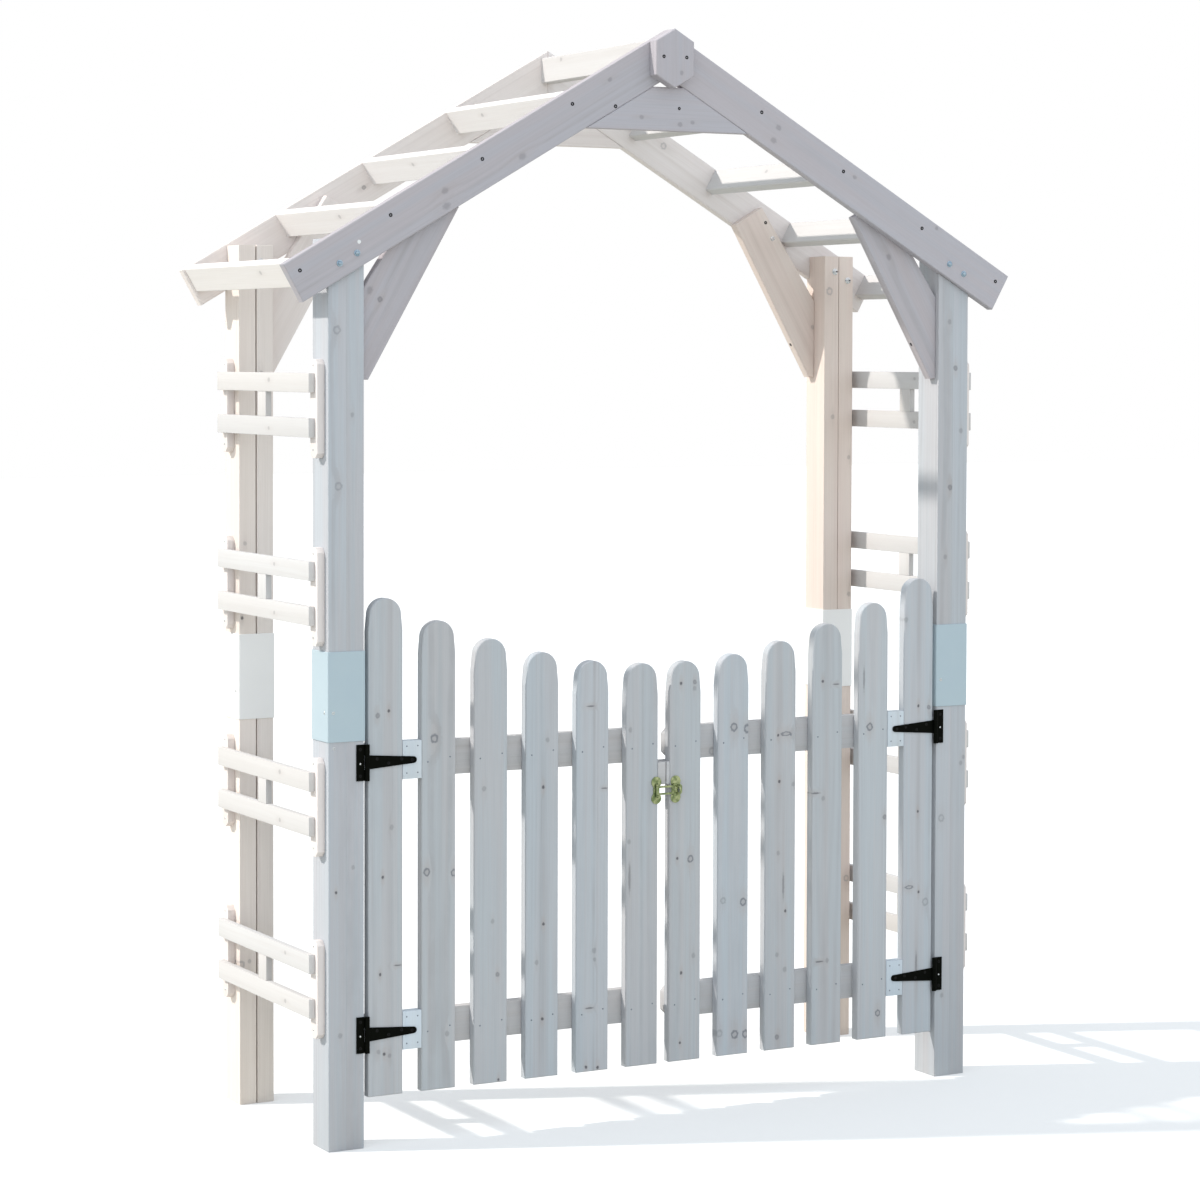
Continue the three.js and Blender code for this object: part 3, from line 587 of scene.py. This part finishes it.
def sleeve(name, mid_x, mid_y, face, side):
    """A square steel tube with rounded corners, open at both ends."""
    work = bmesh.new()

    def square(half, corner, level):
        points = []
        for quarter in range(4):
            towards = math.radians(45 + 90 * quarter)
            centre = (mid_x + math.copysign(half - corner, math.cos(towards)),
                      mid_y + math.copysign(half - corner, math.sin(towards)))
            for step in range(5):
                a = math.radians(90 * quarter + 22.5 * step)
                place = (centre[0] + corner * math.cos(a), centre[1] + corner * math.sin(a), level)
                points.append(work.verts.new(Vector(place) * MM))
        return points

    outer, inner = POST / 2 + METAL, POST / 2 + TOUCH
    rings = [square(*ring) for ring in (
        (inner, 0.6, SLEEVE_LOW), (outer - 0.5, 2.2, SLEEVE_LOW), (outer, 2.6, SLEEVE_LOW + 0.5),
        (outer, 2.6, SLEEVE_HIGH - 0.7), (outer - 0.7, 2.0, SLEEVE_HIGH), (inner, 0.6, SLEEVE_HIGH))]
    for a, b in zip(rings, rings[1:] + rings[:1]):
        bridge(work, a, b)
    bmesh.ops.recalc_face_normals(work, faces=work.faces)
    # the rear sleeves take the lit copy of the coat as painted light
    coat = SLEEVE if face < 0 else LIT_REAR_SLEEVE
    finish_piece(f"{name}_sleeve", work, coat, "frame")
    level = SLEEVE_LOW + SLEEVE_SCREW_RISE
    spot = (mid_x + SLEEVE_SCREW_FACE, mid_y + face * outer, level)
    heads(f"{name}_sleeve_screw_face", "sleeve_screw", [spot], (0, face, 0))
    spot = (mid_x + side * outer, mid_y + SLEEVE_SCREW_SIDE, level)
    heads(f"{name}_sleeve_screw_side", "sleeve_screw", [spot], (side, 0, 0))
    spot = (mid_x + POST_SCREW_ACROSS, mid_y + face * POST / 2, SLEEVE_LOW - POST_SCREW_DROP)
    heads(f"{name}_post_screw_face", "post_screw", [spot], (0, face, 0))


for face_name, face in FACES:
    for side_name, side in SIDES:
        post(face_name, face, side_name, side)

# Roof
ROOF_KNOTS = {  # kind and place in x and z on the front of the arch
    "front_left_rafter": (("smear", -309, 1803), ("smear", -466, 1736), ("smear", -463, 1708),
                          ("faint", -126, 1951)),
    "front_right_rafter": (("smear", 243, 1875), ("smear", 232, 1850), ("faint", 417, 1785),
                           ("faint", 610, 1690)),
    "front_left_knee_brace": (("smear", -607, 1554), ("eye", -587, 1538), ("faint", -560, 1640)),
    "front_right_knee_brace": (("smear", 510, 1632),),
    "front_gusset": (("faint", -58, 1884), ("faint", 52, 1878), ("faint", 25, 1873)),
    "front_ridge_cap": (("faint", 14, 1968),),
}
RAFTER_HALFWAY, RAFTER_SIZE = 452, (900, 70)
KNEE_X, KNEE_HEIGHT, KNEE_SIZE = 550, 1570, (330, 70)
GUSSET_HEIGHT, GUSSET_SIZE = 1900, (240, 60)
CAP_MIDDLE, CAP_HEIGHT, CAP_SIZE = 265, 1995, (100, 70)
RIDGE_HEIGHT, RIDGE_SIZE = 2009, (460, 40)
PURLINS_DOWN, PURLIN_HALF = (253.5, 463.3, 674.3, 890.3), 25


def face_wood(node, tone, centre, along, across, size, grain=0.45):
    """A board of the front or rear of the arch, with the knots that it is given by their place in x and z."""
    given = ROOF_KNOTS.get(node)
    if given is not None:
        offsets = [(kind, Vector((x, centre[1], z)) - Vector(centre)) for kind, x, z in given]
        given = [(kind, offset.dot(along), offset.dot(across)) for kind, offset in offsets]
    paint(node, wood(node, tone, centre, along, across, node, size, given, grain=grain))


for face_name, face in FACES:
    # painted sky shade on the front boards' tone, painted bounce light on the rear boards' lighter one
    tone = "roof" if face < 0 else "rear"
    for side_name, side in SIDES:
        x, z = slope_point(RAFTER_HALFWAY, RAFTER_DEPTH / 2, side)
        down = Vector((side * math.cos(PITCH), 0, -math.sin(PITCH)))
        across = Vector((side * math.sin(PITCH), 0, math.cos(PITCH)))
        middle = (x, face * RAFTER_MIDDLE, z)
        face_wood(f"{face_name}_{side_name}_rafter", tone, middle, down, across, RAFTER_SIZE)
        lean = Vector((side * math.sin(KNEE), 0, -math.cos(KNEE)))
        beside = Vector((math.cos(KNEE), 0, side * math.sin(KNEE)))
        middle = (side * KNEE_X, face * KNEE_MIDDLE, KNEE_HEIGHT)
        # the rear right knee takes a still warmer tone as painted bounce light
        knee_tone = "bounce_lit_peach" if face > 0 and side > 0 else tone
        face_wood(f"{face_name}_{side_name}_knee_brace", knee_tone, middle, lean, beside, KNEE_SIZE)
    face_wood(f"{face_name}_gusset", tone, (0, face * RAFTER_MIDDLE, GUSSET_HEIGHT), X, Z, GUSSET_SIZE)
    face_wood(f"{face_name}_ridge_cap", tone, (0, face * CAP_MIDDLE, CAP_HEIGHT), Z, X, CAP_SIZE, 0.3)
paint("ridge_board", wood("ridge", "ladder", (0, 0, RIDGE_HEIGHT), Y, Z, "ridge", RIDGE_SIZE))
for side_name, side in SIDES:
    # the left purlins take a lighter tone than the right as painted sunlight
    tone = "purlin" if side < 0 else "ladder"
    across = Vector((side * math.sin(PITCH), 0, math.cos(PITCH)))
    for index, along in enumerate(PURLINS_DOWN):
        x, z = slope_point(along, PURLIN_HALF, side)
        node = f"{side_name}_purlin_{index + 1}"
        knots = (("faint", 90 - 70 * index, 8),)
        paint(node, wood(node, tone, (x, 0, z), Y, across, f"purlin{side}{index}", knots=knots, grain=0.3))

# Side ladders
LADDERS = (292.6, 622.5, 1002.5, 1341.0)
BATTEN_IN, BATTEN_OUT, BATTEN_MIDDLE = OUTER_X + TOUCH, 708, 700
BATTEN_NEAR, BATTEN_FAR, BATTEN_LINE, BATTEN_HALF, BATTEN_CORNER = 198, 230, 214, 89, 9
BATTEN_SCREW_LINE, BATTEN_SCREWS = 212, (-74, 78)
SLAT_IN, SLAT_OUT, SLAT_MIDDLE, SLAT_REACH = BATTEN_OUT + TOUCH, 720, 714, 219
SLAT_NEAR, SLAT_FAR, SLATS_RISE = 23, 58, 6
STILE_OUT, STILE_HALF, STILE_SIZE = 719.6, 19, (40, 30)


def side_ladder(side_name, side, index, centre):
    """Two upright battens on the posts, two slats across them and a short stile between the slats."""
    name = f"{side_name}_ladder_{index + 1}"
    for face_name, face in FACES:
        title = f"{name}_{face_name}_batten"
        place = (side * BATTEN_MIDDLE, face * BATTEN_LINE, centre)
        # the battens' tone is lightened and warmed as painted bounce light
        cut = wood(title, "batten", place, Z, Y, f"{name}{face_name}", knots=(), grain=0.3)
        outline = cut_points(*spread(face, BATTEN_NEAR, BATTEN_FAR), centre - BATTEN_HALF,
                             centre + BATTEN_HALF, BATTEN_CORNER)
        slab(title, outline, "X", *spread(side, BATTEN_IN, BATTEN_OUT), cut, "frame",
                         "ladder_timber")
        screws = [(side * BATTEN_OUT, face * BATTEN_SCREW_LINE, centre + z) for z in BATTEN_SCREWS]
        heads(f"{title}_screws", "batten_screw", screws, (side, 0, 0))
    middle = centre + SLATS_RISE
    for way_name, way in (("lower", -1), ("upper", 1)):
        z0, z1 = sorted((middle + way * SLAT_NEAR, middle + way * SLAT_FAR))
        knots = (("faint", 25 * index - 110, 4 * way),)
        cut = wood(f"{name}_{way_name}_slat", "ladder", (side * SLAT_MIDDLE, 0, (z0 + z1) / 2), Y, Z,
                   f"{name}{way_name}", knots=knots, grain=0.3)
        slab(f"{name}_{way_name}_slat", box_points(-SLAT_REACH, SLAT_REACH, z0, z1), "X",
                         *spread(side, SLAT_IN, SLAT_OUT), cut, "frame", "ladder_timber")
    place = (side * SLAT_MIDDLE, 0, middle)
    cut = wood(f"{name}_stile", "ladder", place, Z, Y, f"{name}stile", STILE_SIZE, ())
    outline = box_points(-STILE_HALF, STILE_HALF, middle - SLAT_NEAR, middle + SLAT_NEAR)
    slab(f"{name}_stile", outline, "X", *spread(side, SLAT_IN, STILE_OUT), cut, "frame",
                     "ladder_timber", THIN_EDGE)
    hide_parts(f"{side_name}_side_ladder_{index + 1}")


for side_name, side in SIDES:
    for index, centre in enumerate(LADDERS):
        side_ladder(side_name, side, index, centre)

# Gate leaves
PICKET_KNOTS = {  # kind, height and place across from the middle of the picket
    "left_6": (("eye", 786, -16), ("dot", 793, 6), ("faint", 581, 12), ("dot", 491, -6), ("dot", 314, -11),
               ("dash", 328, 24), ("faint", 173, -14), ("dot", 168, -3), ("faint", 164, 8)),
    "left_5": (("ring", 738, -9), ("ring", 494, -24), ("ring", 489, 31), ("faint", 193, 17)),
    "left_4": (("faint", 393, 4), ("eye", 293, 14), ("dot", 97, 16), ("faint", 640, -14)),
    "left_3": (("faint", 723, 11), ("dot", 635, 2), ("dot", 379, 3), ("faint", 308, -11), ("dot", 201, 1)),
    "left_2": (("dash", 781, -4), ("dash", 625, 26), ("faint", 320, 4), ("faint", 303, 5), ("dash", 212, -6),
               ("dot", 101, -13), ("dot", 98, 12)),
    "left_1": (("faint", 732, -26), ("faint", 520, -28), ("streak", 450, -27)),
    "right_1": (("dot", 815, -10), ("eye", 816, 20), ("faint", 804, 20), ("dot", 481, -17), ("ring", 478, 12),
                ("dot", 261, -8), ("faint", 292, 19), ("dot", 127, -10)),
    "right_2": (("ring", 725, 1), ("ring", 721, 31), ("pale", 392, -22), ("ring", 386, 23),
                ("pale", 136, -29), ("ring", 131, 5), ("ring", 130, 29)),
    "right_3": (("oval", 706, 12), ("dot", 704, -6), ("dot", 614, -3), ("faint", 607, 29),
                ("faint", 475, -5), ("streak", 411, 7), ("dot", 361, 12), ("faint", 277, -7),
                ("faint", 247, 11), ("eye", 116, -6)),
    "right_4": (("dot", 804, -11), ("dash", 797, 20), ("dash", 586, -26), ("faint", 575, -9),
                ("dash", 255, -16), ("faint", 256, 2)),
    "right_5": (("streak", 803, -22), ("ring", 709, -8), ("eye", 529, 28), ("ring", 141, 14)),
    "right_6": (("faint", 917, -30), ("dot", 745, 0), ("eye", 741, 25), ("dot", 535, 0), ("oval", 385, -20),
                ("dot", 374, 3), ("pale", 353, 19), ("streak", 231, -2)),
}
PICKET_HEARTS = {  # place across, half width and share
    "left_3": (2, 11, 0.28), "left_2": (3, 4, 0.5), "left_5": (3, 8, 0.18), "right_3": (-4, 9, 0.26),
    "right_4": (-4, 9, 0.18), "right_6": (0, 7, 0.28), "left_6": (6, 8, 0.14),
}
PICKET_MIDDLE = 500
RAIL_HALF, RAIL_MARGIN, RAIL_CORNER, RAIL_MIDDLE, RAIL_SIZE = 32.5, 2, 15, 310, (560, 50)
FILLER_BELOW, FILLER_ABOVE, FILLER_FRONT = 33, 37, PICKET_FRONT + 0.1
FILLER_NAIL_IN, FILLER_NAILS = 8, (-22, 27)
PICKET_NAILS = ((-22, -4), (23, 3))
BLOCK_LOW, BLOCK_HIGH, BLOCK_BEHIND, BLOCK_PAST = 624.5, 667.3, 32, {"left": 17, "right": 7}
BLOCK_FRONT, BLOCK_BACK, BLOCK_X, BLOCK_HEIGHT = PICKET_FRONT + 0.2, RAIL_BACK - 0.1, 20, 646


def picket_x(side, index):
    return side * (LEAF_IN + PICKET_WIDTH / 2 + PICKET_STEP * index)


def gate_rail(side_name, side, level, middle, body):
    """A rail with cut corners, the filler board in front of it beside the hinge, and the nails of both."""
    name = f"{side_name}_{level}"
    low, high = middle - RAIL_HALF, middle + RAIL_HALF
    inner, outer = LEAF_IN + RAIL_MARGIN, LEAF_OUT - RAIL_MARGIN
    outline = mirrored(side, [(inner + RAIL_CORNER, low), (outer, low), (outer, high),
                              (inner + RAIL_CORNER, high), (inner, high - RAIL_CORNER),
                              (inner, low + RAIL_CORNER)])
    middle_y = (RAIL_FRONT + RAIL_BACK) / 2
    # the rails' tone is lightened as painted light against their shade behind the pickets
    cut = wood(f"{name}_rail", "rail", (side * RAIL_MIDDLE, middle_y, middle), X, Z, f"rail{name}", RAIL_SIZE)
    made = slab(f"{name}_rail_board", outline, "Y", RAIL_FRONT, RAIL_BACK, cut, body, "gate_timber")
    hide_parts(f"{name}_rail")
    x0, x1 = spread(side, LEAF_IN + PICKET_WIDTH + PICKET_STEP * (PICKETS - 2) + SEAT,
                    LEAF_IN + PICKET_STEP * (PICKETS - 1) - SEAT)
    middle_y = (PICKET_FRONT + RAIL_FRONT) / 2
    # the fillers' tone is blued as painted sky shade
    cut = wood(f"{name}_filler", "filler", ((x0 + x1) / 2, middle_y, middle), Z, X, f"filler{name}", knots=())
    outline = box_points(x0, x1, middle - FILLER_BELOW, middle + FILLER_ABOVE)
    slab(f"{name}_filler", outline, "Y", FILLER_FRONT, RAIL_FRONT, cut, body, "gate_timber", THIN_EDGE)
    nails = [(x, FILLER_FRONT, middle + z) for x in (x0 + FILLER_NAIL_IN, x1 - FILLER_NAIL_IN)
             for z in FILLER_NAILS]
    heads(f"{name}_filler_nails", "filler_nail", nails, -Y, body)
    nails = [(picket_x(side, index) + x, PICKET_FRONT, middle + z) for index in range(PICKETS)
             for x, z in PICKET_NAILS]
    heads(f"{name}_picket_nails", "picket_nail", nails, -Y, body)


def latch_block(side_name, side, body):
    """A block behind the latch that fills the gap between the leaves, with its part between the pickets."""
    tip = LEAF_IN - BLOCK_PAST[side_name]
    cut = wood(f"{side_name}_latch_block", "rail", (side * BLOCK_X, RAIL_FRONT, BLOCK_HEIGHT), X, Z,
               f"block{side}", knots=())
    behind = mirrored(side, box_points(tip, LEAF_IN + BLOCK_BEHIND, BLOCK_LOW, BLOCK_HIGH))
    slab(f"{side_name}_latch_block", behind, "Y", RAIL_FRONT, BLOCK_BACK, cut, body, "gate_timber")
    between = mirrored(side, box_points(tip, LEAF_IN - SEAT, BLOCK_LOW, BLOCK_HIGH))
    slab(f"{side_name}_latch_block_front", between, "Y", BLOCK_FRONT, RAIL_FRONT, cut, body, "gate_timber",
         BLOCK_EDGE)


for side_name, side in SIDES:
    body = f"{side_name}_gate"
    for index in range(PICKETS):
        title = f"{side_name}_{index + 1}"
        centre = (picket_x(side, index), (PICKET_FRONT + RAIL_FRONT) / 2, PICKET_MIDDLE)
        knots = [(kind, z - PICKET_MIDDLE, across) for kind, z, across in PICKET_KNOTS[title]]
        node = f"{side_name}_picket_{index + 1}"
        paint(node, wood(node, "gate", centre, Z, X, f"picket{title}", knots=knots,
                         heart=PICKET_HEARTS.get(title)))
    gate_rail(side_name, side, "upper", UPPER_RAIL, body)
    gate_rail(side_name, side, "lower", LOWER_RAIL, body)
    latch_block(side_name, side, body)

# Hinges and latch
PLATE_FRONT = PICKET_FRONT - METAL
ROD_END_ROUND, ROD_END_SHARE = 0.15, 0.8
HINGE_PLATE_X, HINGE_PLATE_SCREWS, HINGE_RIVET = 631, (-24, 24), -2
STRAP_SCREWS = ((598, 5.5), (575, -3.5), (549, 2.5), (528, 0))
LOBE_RADIUS, LOBE_SHIFT, LOBE_START, LOBE_SWEEP, LOBE_STEPS = 10.6, 15.4, -52, 284, 16
LATCH_SCREW = 19.5
KNUCKLE_RADIUS, KNUCKLE_LEVELS = 3.5, (8.8, 10.6, 12.4)
PIN_RADIUS, PIN_HALF = 1.6, 13.6
BOW_RADIUS, BOW_WIRE, BOW_FOOT, BOW_TOP, BOW_STEPS = 6.6, 1.85, -246.5, -258.5, 10


def rod(name, path, radius, material, body, count=12):
    """A round bar with rounded ends along points in millimetres."""
    points = [Vector(p) * MM for p in path]
    ahead = [(b - a).normalized() for a, b in zip(points, points[1:])]
    ways = [ahead[0]] + [(a + b).normalized() for a, b in zip(ahead, ahead[1:])] + [ahead[-1]]
    side = ways[0].orthogonal().normalized()
    end = radius * ROD_END_ROUND * MM
    stations = [(points[0], ways[0], ROD_END_SHARE), (points[0] + ways[0] * end, ways[0], 1.0)]
    stations += [(p, w, 1.0) for p, w in zip(points[1:-1], ways[1:-1])]
    stations += [(points[-1] - ways[-1] * end, ways[-1], 1.0), (points[-1], ways[-1], ROD_END_SHARE)]
    work = bmesh.new()
    rings = []
    for centre, way, share in stations:
        side = (side - way * side.dot(way)).normalized()
        other = way.cross(side)
        turns = (math.tau * i / count for i in range(count))
        spokes = [side * math.cos(a) + other * math.sin(a) for a in turns]
        rings.append([work.verts.new(centre + spoke * radius * share * MM) for spoke in spokes])
    for a, b in zip(rings, rings[1:]):
        bridge(work, a, b)
    work.faces.new(rings[0][::-1])
    work.faces.new(rings[-1])
    bmesh.ops.recalc_face_normals(work, faces=work.faces)
    return finish_piece(name, work, material, body, 50)


def lobed_plate(name, x, body):
    """A thin plate with a round lobe above and below a waist."""
    outline = []
    for way in (1, -1):
        for step in range(LOBE_STEPS + 1):
            a = math.radians(LOBE_START + LOBE_SWEEP * step / LOBE_STEPS)
            outline.append((x + way * LOBE_RADIUS * math.cos(a),
                            LATCH + way * (LOBE_SHIFT + LOBE_RADIUS * math.sin(a))))
    return slab(name, outline, "Y", PLATE_FRONT, PICKET_FRONT - TOUCH, YELLOW, body, "yellow_zinc",
                PLATE_EDGE)


for side_name, side in SIDES:
    for level, middle in (("upper", UPPER_RAIL + HINGE_RISE), ("lower", LOWER_RAIL + HINGE_RISE)):
        name = f"{side_name}_{level}"
        paint(f"{name}_hinge_plate", BLACK)
        paint(f"{name}_hinge_strap", BLACK)
        screws = [(side * HINGE_PLATE_X, PLATE_FRONT, middle + z) for z in HINGE_PLATE_SCREWS]
        heads(f"{name}_hinge_plate_screws", "hinge_screw", screws, -Y)
        rivet = [(side * HINGE_PLATE_X, PLATE_FRONT, middle + HINGE_RIVET)]
        heads(f"{name}_hinge_plate_rivet", "hinge_rivet", rivet, -Y)
        screws = [(side * x, PLATE_FRONT, middle + z) for x, z in STRAP_SCREWS]
        heads(f"{name}_hinge_strap_screws", "hinge_screw", screws, -Y, f"{side_name}_gate")
plate = lobed_plate("hasp_plate_lobes", HASP_X, "left_gate")
for way_name, way in (("upper", 1), ("lower", -1)):
    path = [(HASP_X, PIN_Y, LATCH + way * level) for level in KNUCKLE_LEVELS]
    rod(f"hasp_{way_name}_knuckle", path, KNUCKLE_RADIUS, YELLOW, "left_gate", 16)
path = [(HASP_X, PIN_Y, LATCH - PIN_HALF), (HASP_X, PIN_Y, LATCH), (HASP_X, PIN_Y, LATCH + PIN_HALF)]
rod("hasp_pin", path, PIN_RADIUS, DARK, "left_gate")
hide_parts("hasp_plate")
paint("hasp", YELLOW)
plate = lobed_plate("staple_plate_lobes", STAPLE_X, "right_gate")
arc = [(STAPLE_X, BOW_TOP - BOW_RADIUS * math.sin(a), LATCH + BOW_RADIUS * math.cos(a))
       for a in (math.pi * i / BOW_STEPS for i in range(BOW_STEPS + 1))]
path = [(STAPLE_X, BOW_FOOT, LATCH + BOW_RADIUS), *arc, (STAPLE_X, BOW_FOOT, LATCH - BOW_RADIUS)]
rod("staple_bow", path, BOW_WIRE, YELLOW, "right_gate")
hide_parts("staple")
for name, x, body in (("hasp_plate_screws", HASP_X, "left_gate"), ("staple_screws", STAPLE_X, "right_gate")):
    screws = [(x, PLATE_FRONT, LATCH - LATCH_SCREW), (x, PLATE_FRONT, LATCH + LATCH_SCREW)]
    heads(name, "latch_screw", screws, -Y, body)

# Fasteners of the frame, in x and z on the right
RAFTER_SCREWS, RAFTER_SCREW_DOWN, TOP_SCREW = (205, 391, 575, 752), 25, (114, 1902.0)
# The last value below is how far out stand the dark dots painted on the bolt ends as dark reflections in the
# chrome
POST_BOLTS, POST_NUTS, PAINTED_DOT_OUT = ((675, 1601.0), (641, 1620.0)), ((680, 1596.0), (648, 1614.0)), 8.2
KNEE_SCREW, KNEE_PEG = (502, 1715.0), (519, 1682.0)
KNEE_EDGE_X, KNEE_EDGE_DROP, KNEE_EDGE_HEIGHT = 610, 68, 1461.0
PLUG_X, PLUG_HEIGHT, CAP_SCREW_X, CAP_SCREW_HEIGHT = -637, 1640, 24.6, 1997
GUSSET_SCREW = (23, 1903)


def on_face(spots, side, y):
    return [(side * x, y, z) for x, z in spots]


def corner_fasteners(name, face, side):
    """What holds one rafter, its knee and its post together."""
    out, back = (0, face, 0), (0, -face, 0)
    front_y, post_y, knee_y = face * RAFTER_FRONT, face * (OUTER_Y - POST), face * (RAFTER_BACK - BOARD)
    spots = [(x, roof_line(x) - RAFTER_SCREW_DOWN / math.cos(PITCH)) for x in RAFTER_SCREWS]
    if side < 0 or face > 0:
        spots.append(TOP_SCREW)
    heads(f"{name}_rafter_screws", "rafter_screw", on_face(spots, side, front_y), out)
    heads(f"{name}_post_bolts", "bolt", on_face(POST_BOLTS, side, front_y), out)
    heads(f"{name}_post_nuts", "nut", on_face(POST_NUTS, side, post_y), back)
    # dark dots on the bolt ends: a painted dark reflection in the chrome nuts
    painted_dots_y = face * (OUTER_Y - POST - PAINTED_DOT_OUT)
    heads(f"{name}_post_bolt_ends", "bolt_end", on_face(POST_NUTS, side, painted_dots_y), back)
    heads(f"{name}_knee_screw", "frame_screw", on_face([KNEE_SCREW], side, knee_y), back)
    heads(f"{name}_knee_peg", "peg", on_face([KNEE_PEG], side, knee_y), back)
    spot = (KNEE_EDGE_X - KNEE_EDGE_DROP * math.tan(KNEE), KNEE_EDGE_HEIGHT)
    heads(f"{name}_knee_edge_screw", "frame_screw", on_face([spot], side, face * KNEE_MIDDLE),
          (-side * math.cos(KNEE), 0, -math.sin(KNEE)))


for face_name, face in FACES:
    out, y = (0, face, 0), face * RAFTER_FRONT
    for side_name, side in SIDES:
        corner_fasteners(f"{face_name}_{side_name}", face, side)
    plug = [(PLUG_X, y, PLUG_HEIGHT)]
    heads(f"{face_name}_post_plug", "plug", plug, out)
    screws = [(x, face * CAP_FRONT, CAP_SCREW_HEIGHT) for x in (-CAP_SCREW_X, CAP_SCREW_X)]
    heads(f"{face_name}_cap_screws", "frame_screw", screws, out)
    heads(f"{face_name}_gusset_screw", "gusset_screw", on_face([GUSSET_SCREW], 1, y), out)

# Floor, light and camera
FLOOR_REACH, FLOOR_GLOW = 30, 0.26
FLOOR_SEEN, FLOOR_TINTS = rgb(0.70, 0.70, 0.70), (rgb(0.50, 0.50, 0.455), rgb(0.53, 0.53, 0.485))
SKY_TINT, WHITE = rgb(0.865, 0.937, 1.0), rgb(1, 1, 1)
SKY_LOW, SKY_HIGH, SKY_FRONT, SKY_BEHIND = 1.36, 0.92, -0.16, 0.7
SUN_WAY, SUN_STRENGTH, SUN_TINT, SUN_ANGLE = (0.7195, -0.2957, -0.628), 3.2, (1.0, 0.955, 0.89), 1.5
CAMERA_PLACE = (-3.02998, -5.56222, 1.43914)
CAMERA_YAW, CAMERA_PITCH, CAMERA_ROLL, CAMERA_SHIFT = 0.4979, -0.03501, 0.00251, -0.11
SENSOR, FOCAL_PIXELS, PHOTO_PIXELS = 36, 3236.89, 1200


def ground():
    """A pale floor that keeps the arch's shadow. The camera sees it brighter than it lights the arch."""
    work = bmesh.new()
    corners = ((-1, -1), (1, -1), (1, 1), (-1, 1))
    work.faces.new([work.verts.new((a * FLOOR_REACH, b * FLOOR_REACH, 0)) for a, b in corners])
    mesh = bpy.data.meshes.new("floor")
    work.to_mesh(mesh)
    work.free()
    piece = bpy.data.objects.new("floor", mesh)
    bpy.context.scene.collection.objects.link(piece)
    material = bpy.data.materials.new("pale_floor")
    tree = node_tree(material)
    here = add(tree, "ShaderNodeTexCoord").outputs["Object"]
    cloud = noise(tree, {"Vector": here, "Scale": 1.5})
    seen = add(tree, "ShaderNodeLightPath").outputs["Is Camera Ray"]
    colour = mix(tree, seen, mix(tree, cloud, *FLOOR_TINTS), FLOOR_SEEN)
    plain = add(tree, "ShaderNodeBsdfDiffuse", {"Color": colour})
    glow = add(tree, "ShaderNodeEmission", {"Color": WHITE, "Strength": times(tree, seen, FLOOR_GLOW)})
    both = add(tree, "ShaderNodeAddShader", {0: plain.outputs[0], 1: glow.outputs[0]})
    add(tree, "ShaderNodeOutputMaterial", {"Surface": both.outputs[0]})
    mesh.materials.append(material)


def sky():
    """A soft white room, a little brighter low down and in front. Seen and mirrored, it is plain white."""
    world = bpy.data.worlds.new("studio")
    bpy.context.scene.world = world
    world.use_nodes = True
    tree = world.node_tree
    tree.nodes.clear()
    path = add(tree, "ShaderNodeLightPath").outputs
    mirrored_too = calc(tree, "MAXIMUM", path["Is Glossy Ray"], path["Is Transmission Ray"])
    seen = calc(tree, "MAXIMUM", path["Is Camera Ray"], mirrored_too)
    way = add(tree, "ShaderNodeTexCoord").outputs["Generated"]
    way = add(tree, "ShaderNodeSeparateXYZ", {0: way}).outputs
    rise = ramp(tree, way[2], 0.0, 1.0, SKY_LOW, SKY_HIGH)
    behind = ramp(tree, way[1], 0.0, 0.8, 1.0, SKY_BEHIND)
    level = times(tree, rise, times(tree, times_plus(tree, way[1], SKY_FRONT, 1.0), behind))
    fill = add(tree, "ShaderNodeBackground", {"Color": SKY_TINT, "Strength": level})
    plain = add(tree, "ShaderNodeBackground", {"Color": WHITE, "Strength": 1.0})
    both = add(tree, "ShaderNodeMixShader", {0: seen, 1: fill.outputs[0], 2: plain.outputs[0]})
    add(tree, "ShaderNodeOutputWorld", {"Surface": both.outputs[0]})


def sun():
    light = bpy.data.lights.new("key", "SUN")
    light.energy = SUN_STRENGTH
    light.color = SUN_TINT
    light.angle = math.radians(SUN_ANGLE)
    piece = bpy.data.objects.new("key", light)
    piece.rotation_mode = "QUATERNION"
    piece.rotation_quaternion = Vector(SUN_WAY).to_track_quat("-Z", "Y")
    bpy.context.scene.collection.objects.link(piece)


def camera():
    """The photograph's camera, from a fit to the straight edges of the arch."""
    ahead = Vector((math.sin(CAMERA_YAW) * math.cos(CAMERA_PITCH),
                    math.cos(CAMERA_YAW) * math.cos(CAMERA_PITCH), math.sin(CAMERA_PITCH)))
    right = Vector((math.cos(CAMERA_YAW), -math.sin(CAMERA_YAW), 0))
    up = right.cross(ahead)
    across = right * math.cos(CAMERA_ROLL) + up * math.sin(CAMERA_ROLL)
    above = up * math.cos(CAMERA_ROLL) - right * math.sin(CAMERA_ROLL)
    data = bpy.data.cameras.new("photograph")
    data.sensor_width = SENSOR
    data.lens = FOCAL_PIXELS * SENSOR / PHOTO_PIXELS
    data.shift_y = CAMERA_SHIFT
    data.clip_start, data.clip_end = 0.1, 200
    piece = bpy.data.objects.new("photograph", data)
    turn = Matrix((across, above, -ahead)).transposed().to_4x4()
    piece.matrix_world = Matrix.Translation(CAMERA_PLACE) @ turn
    bpy.context.scene.collection.objects.link(piece)
    bpy.context.scene.camera = piece


ground()
sky()
sun()
camera()
bpy.context.scene.view_settings.view_transform = "Standard"
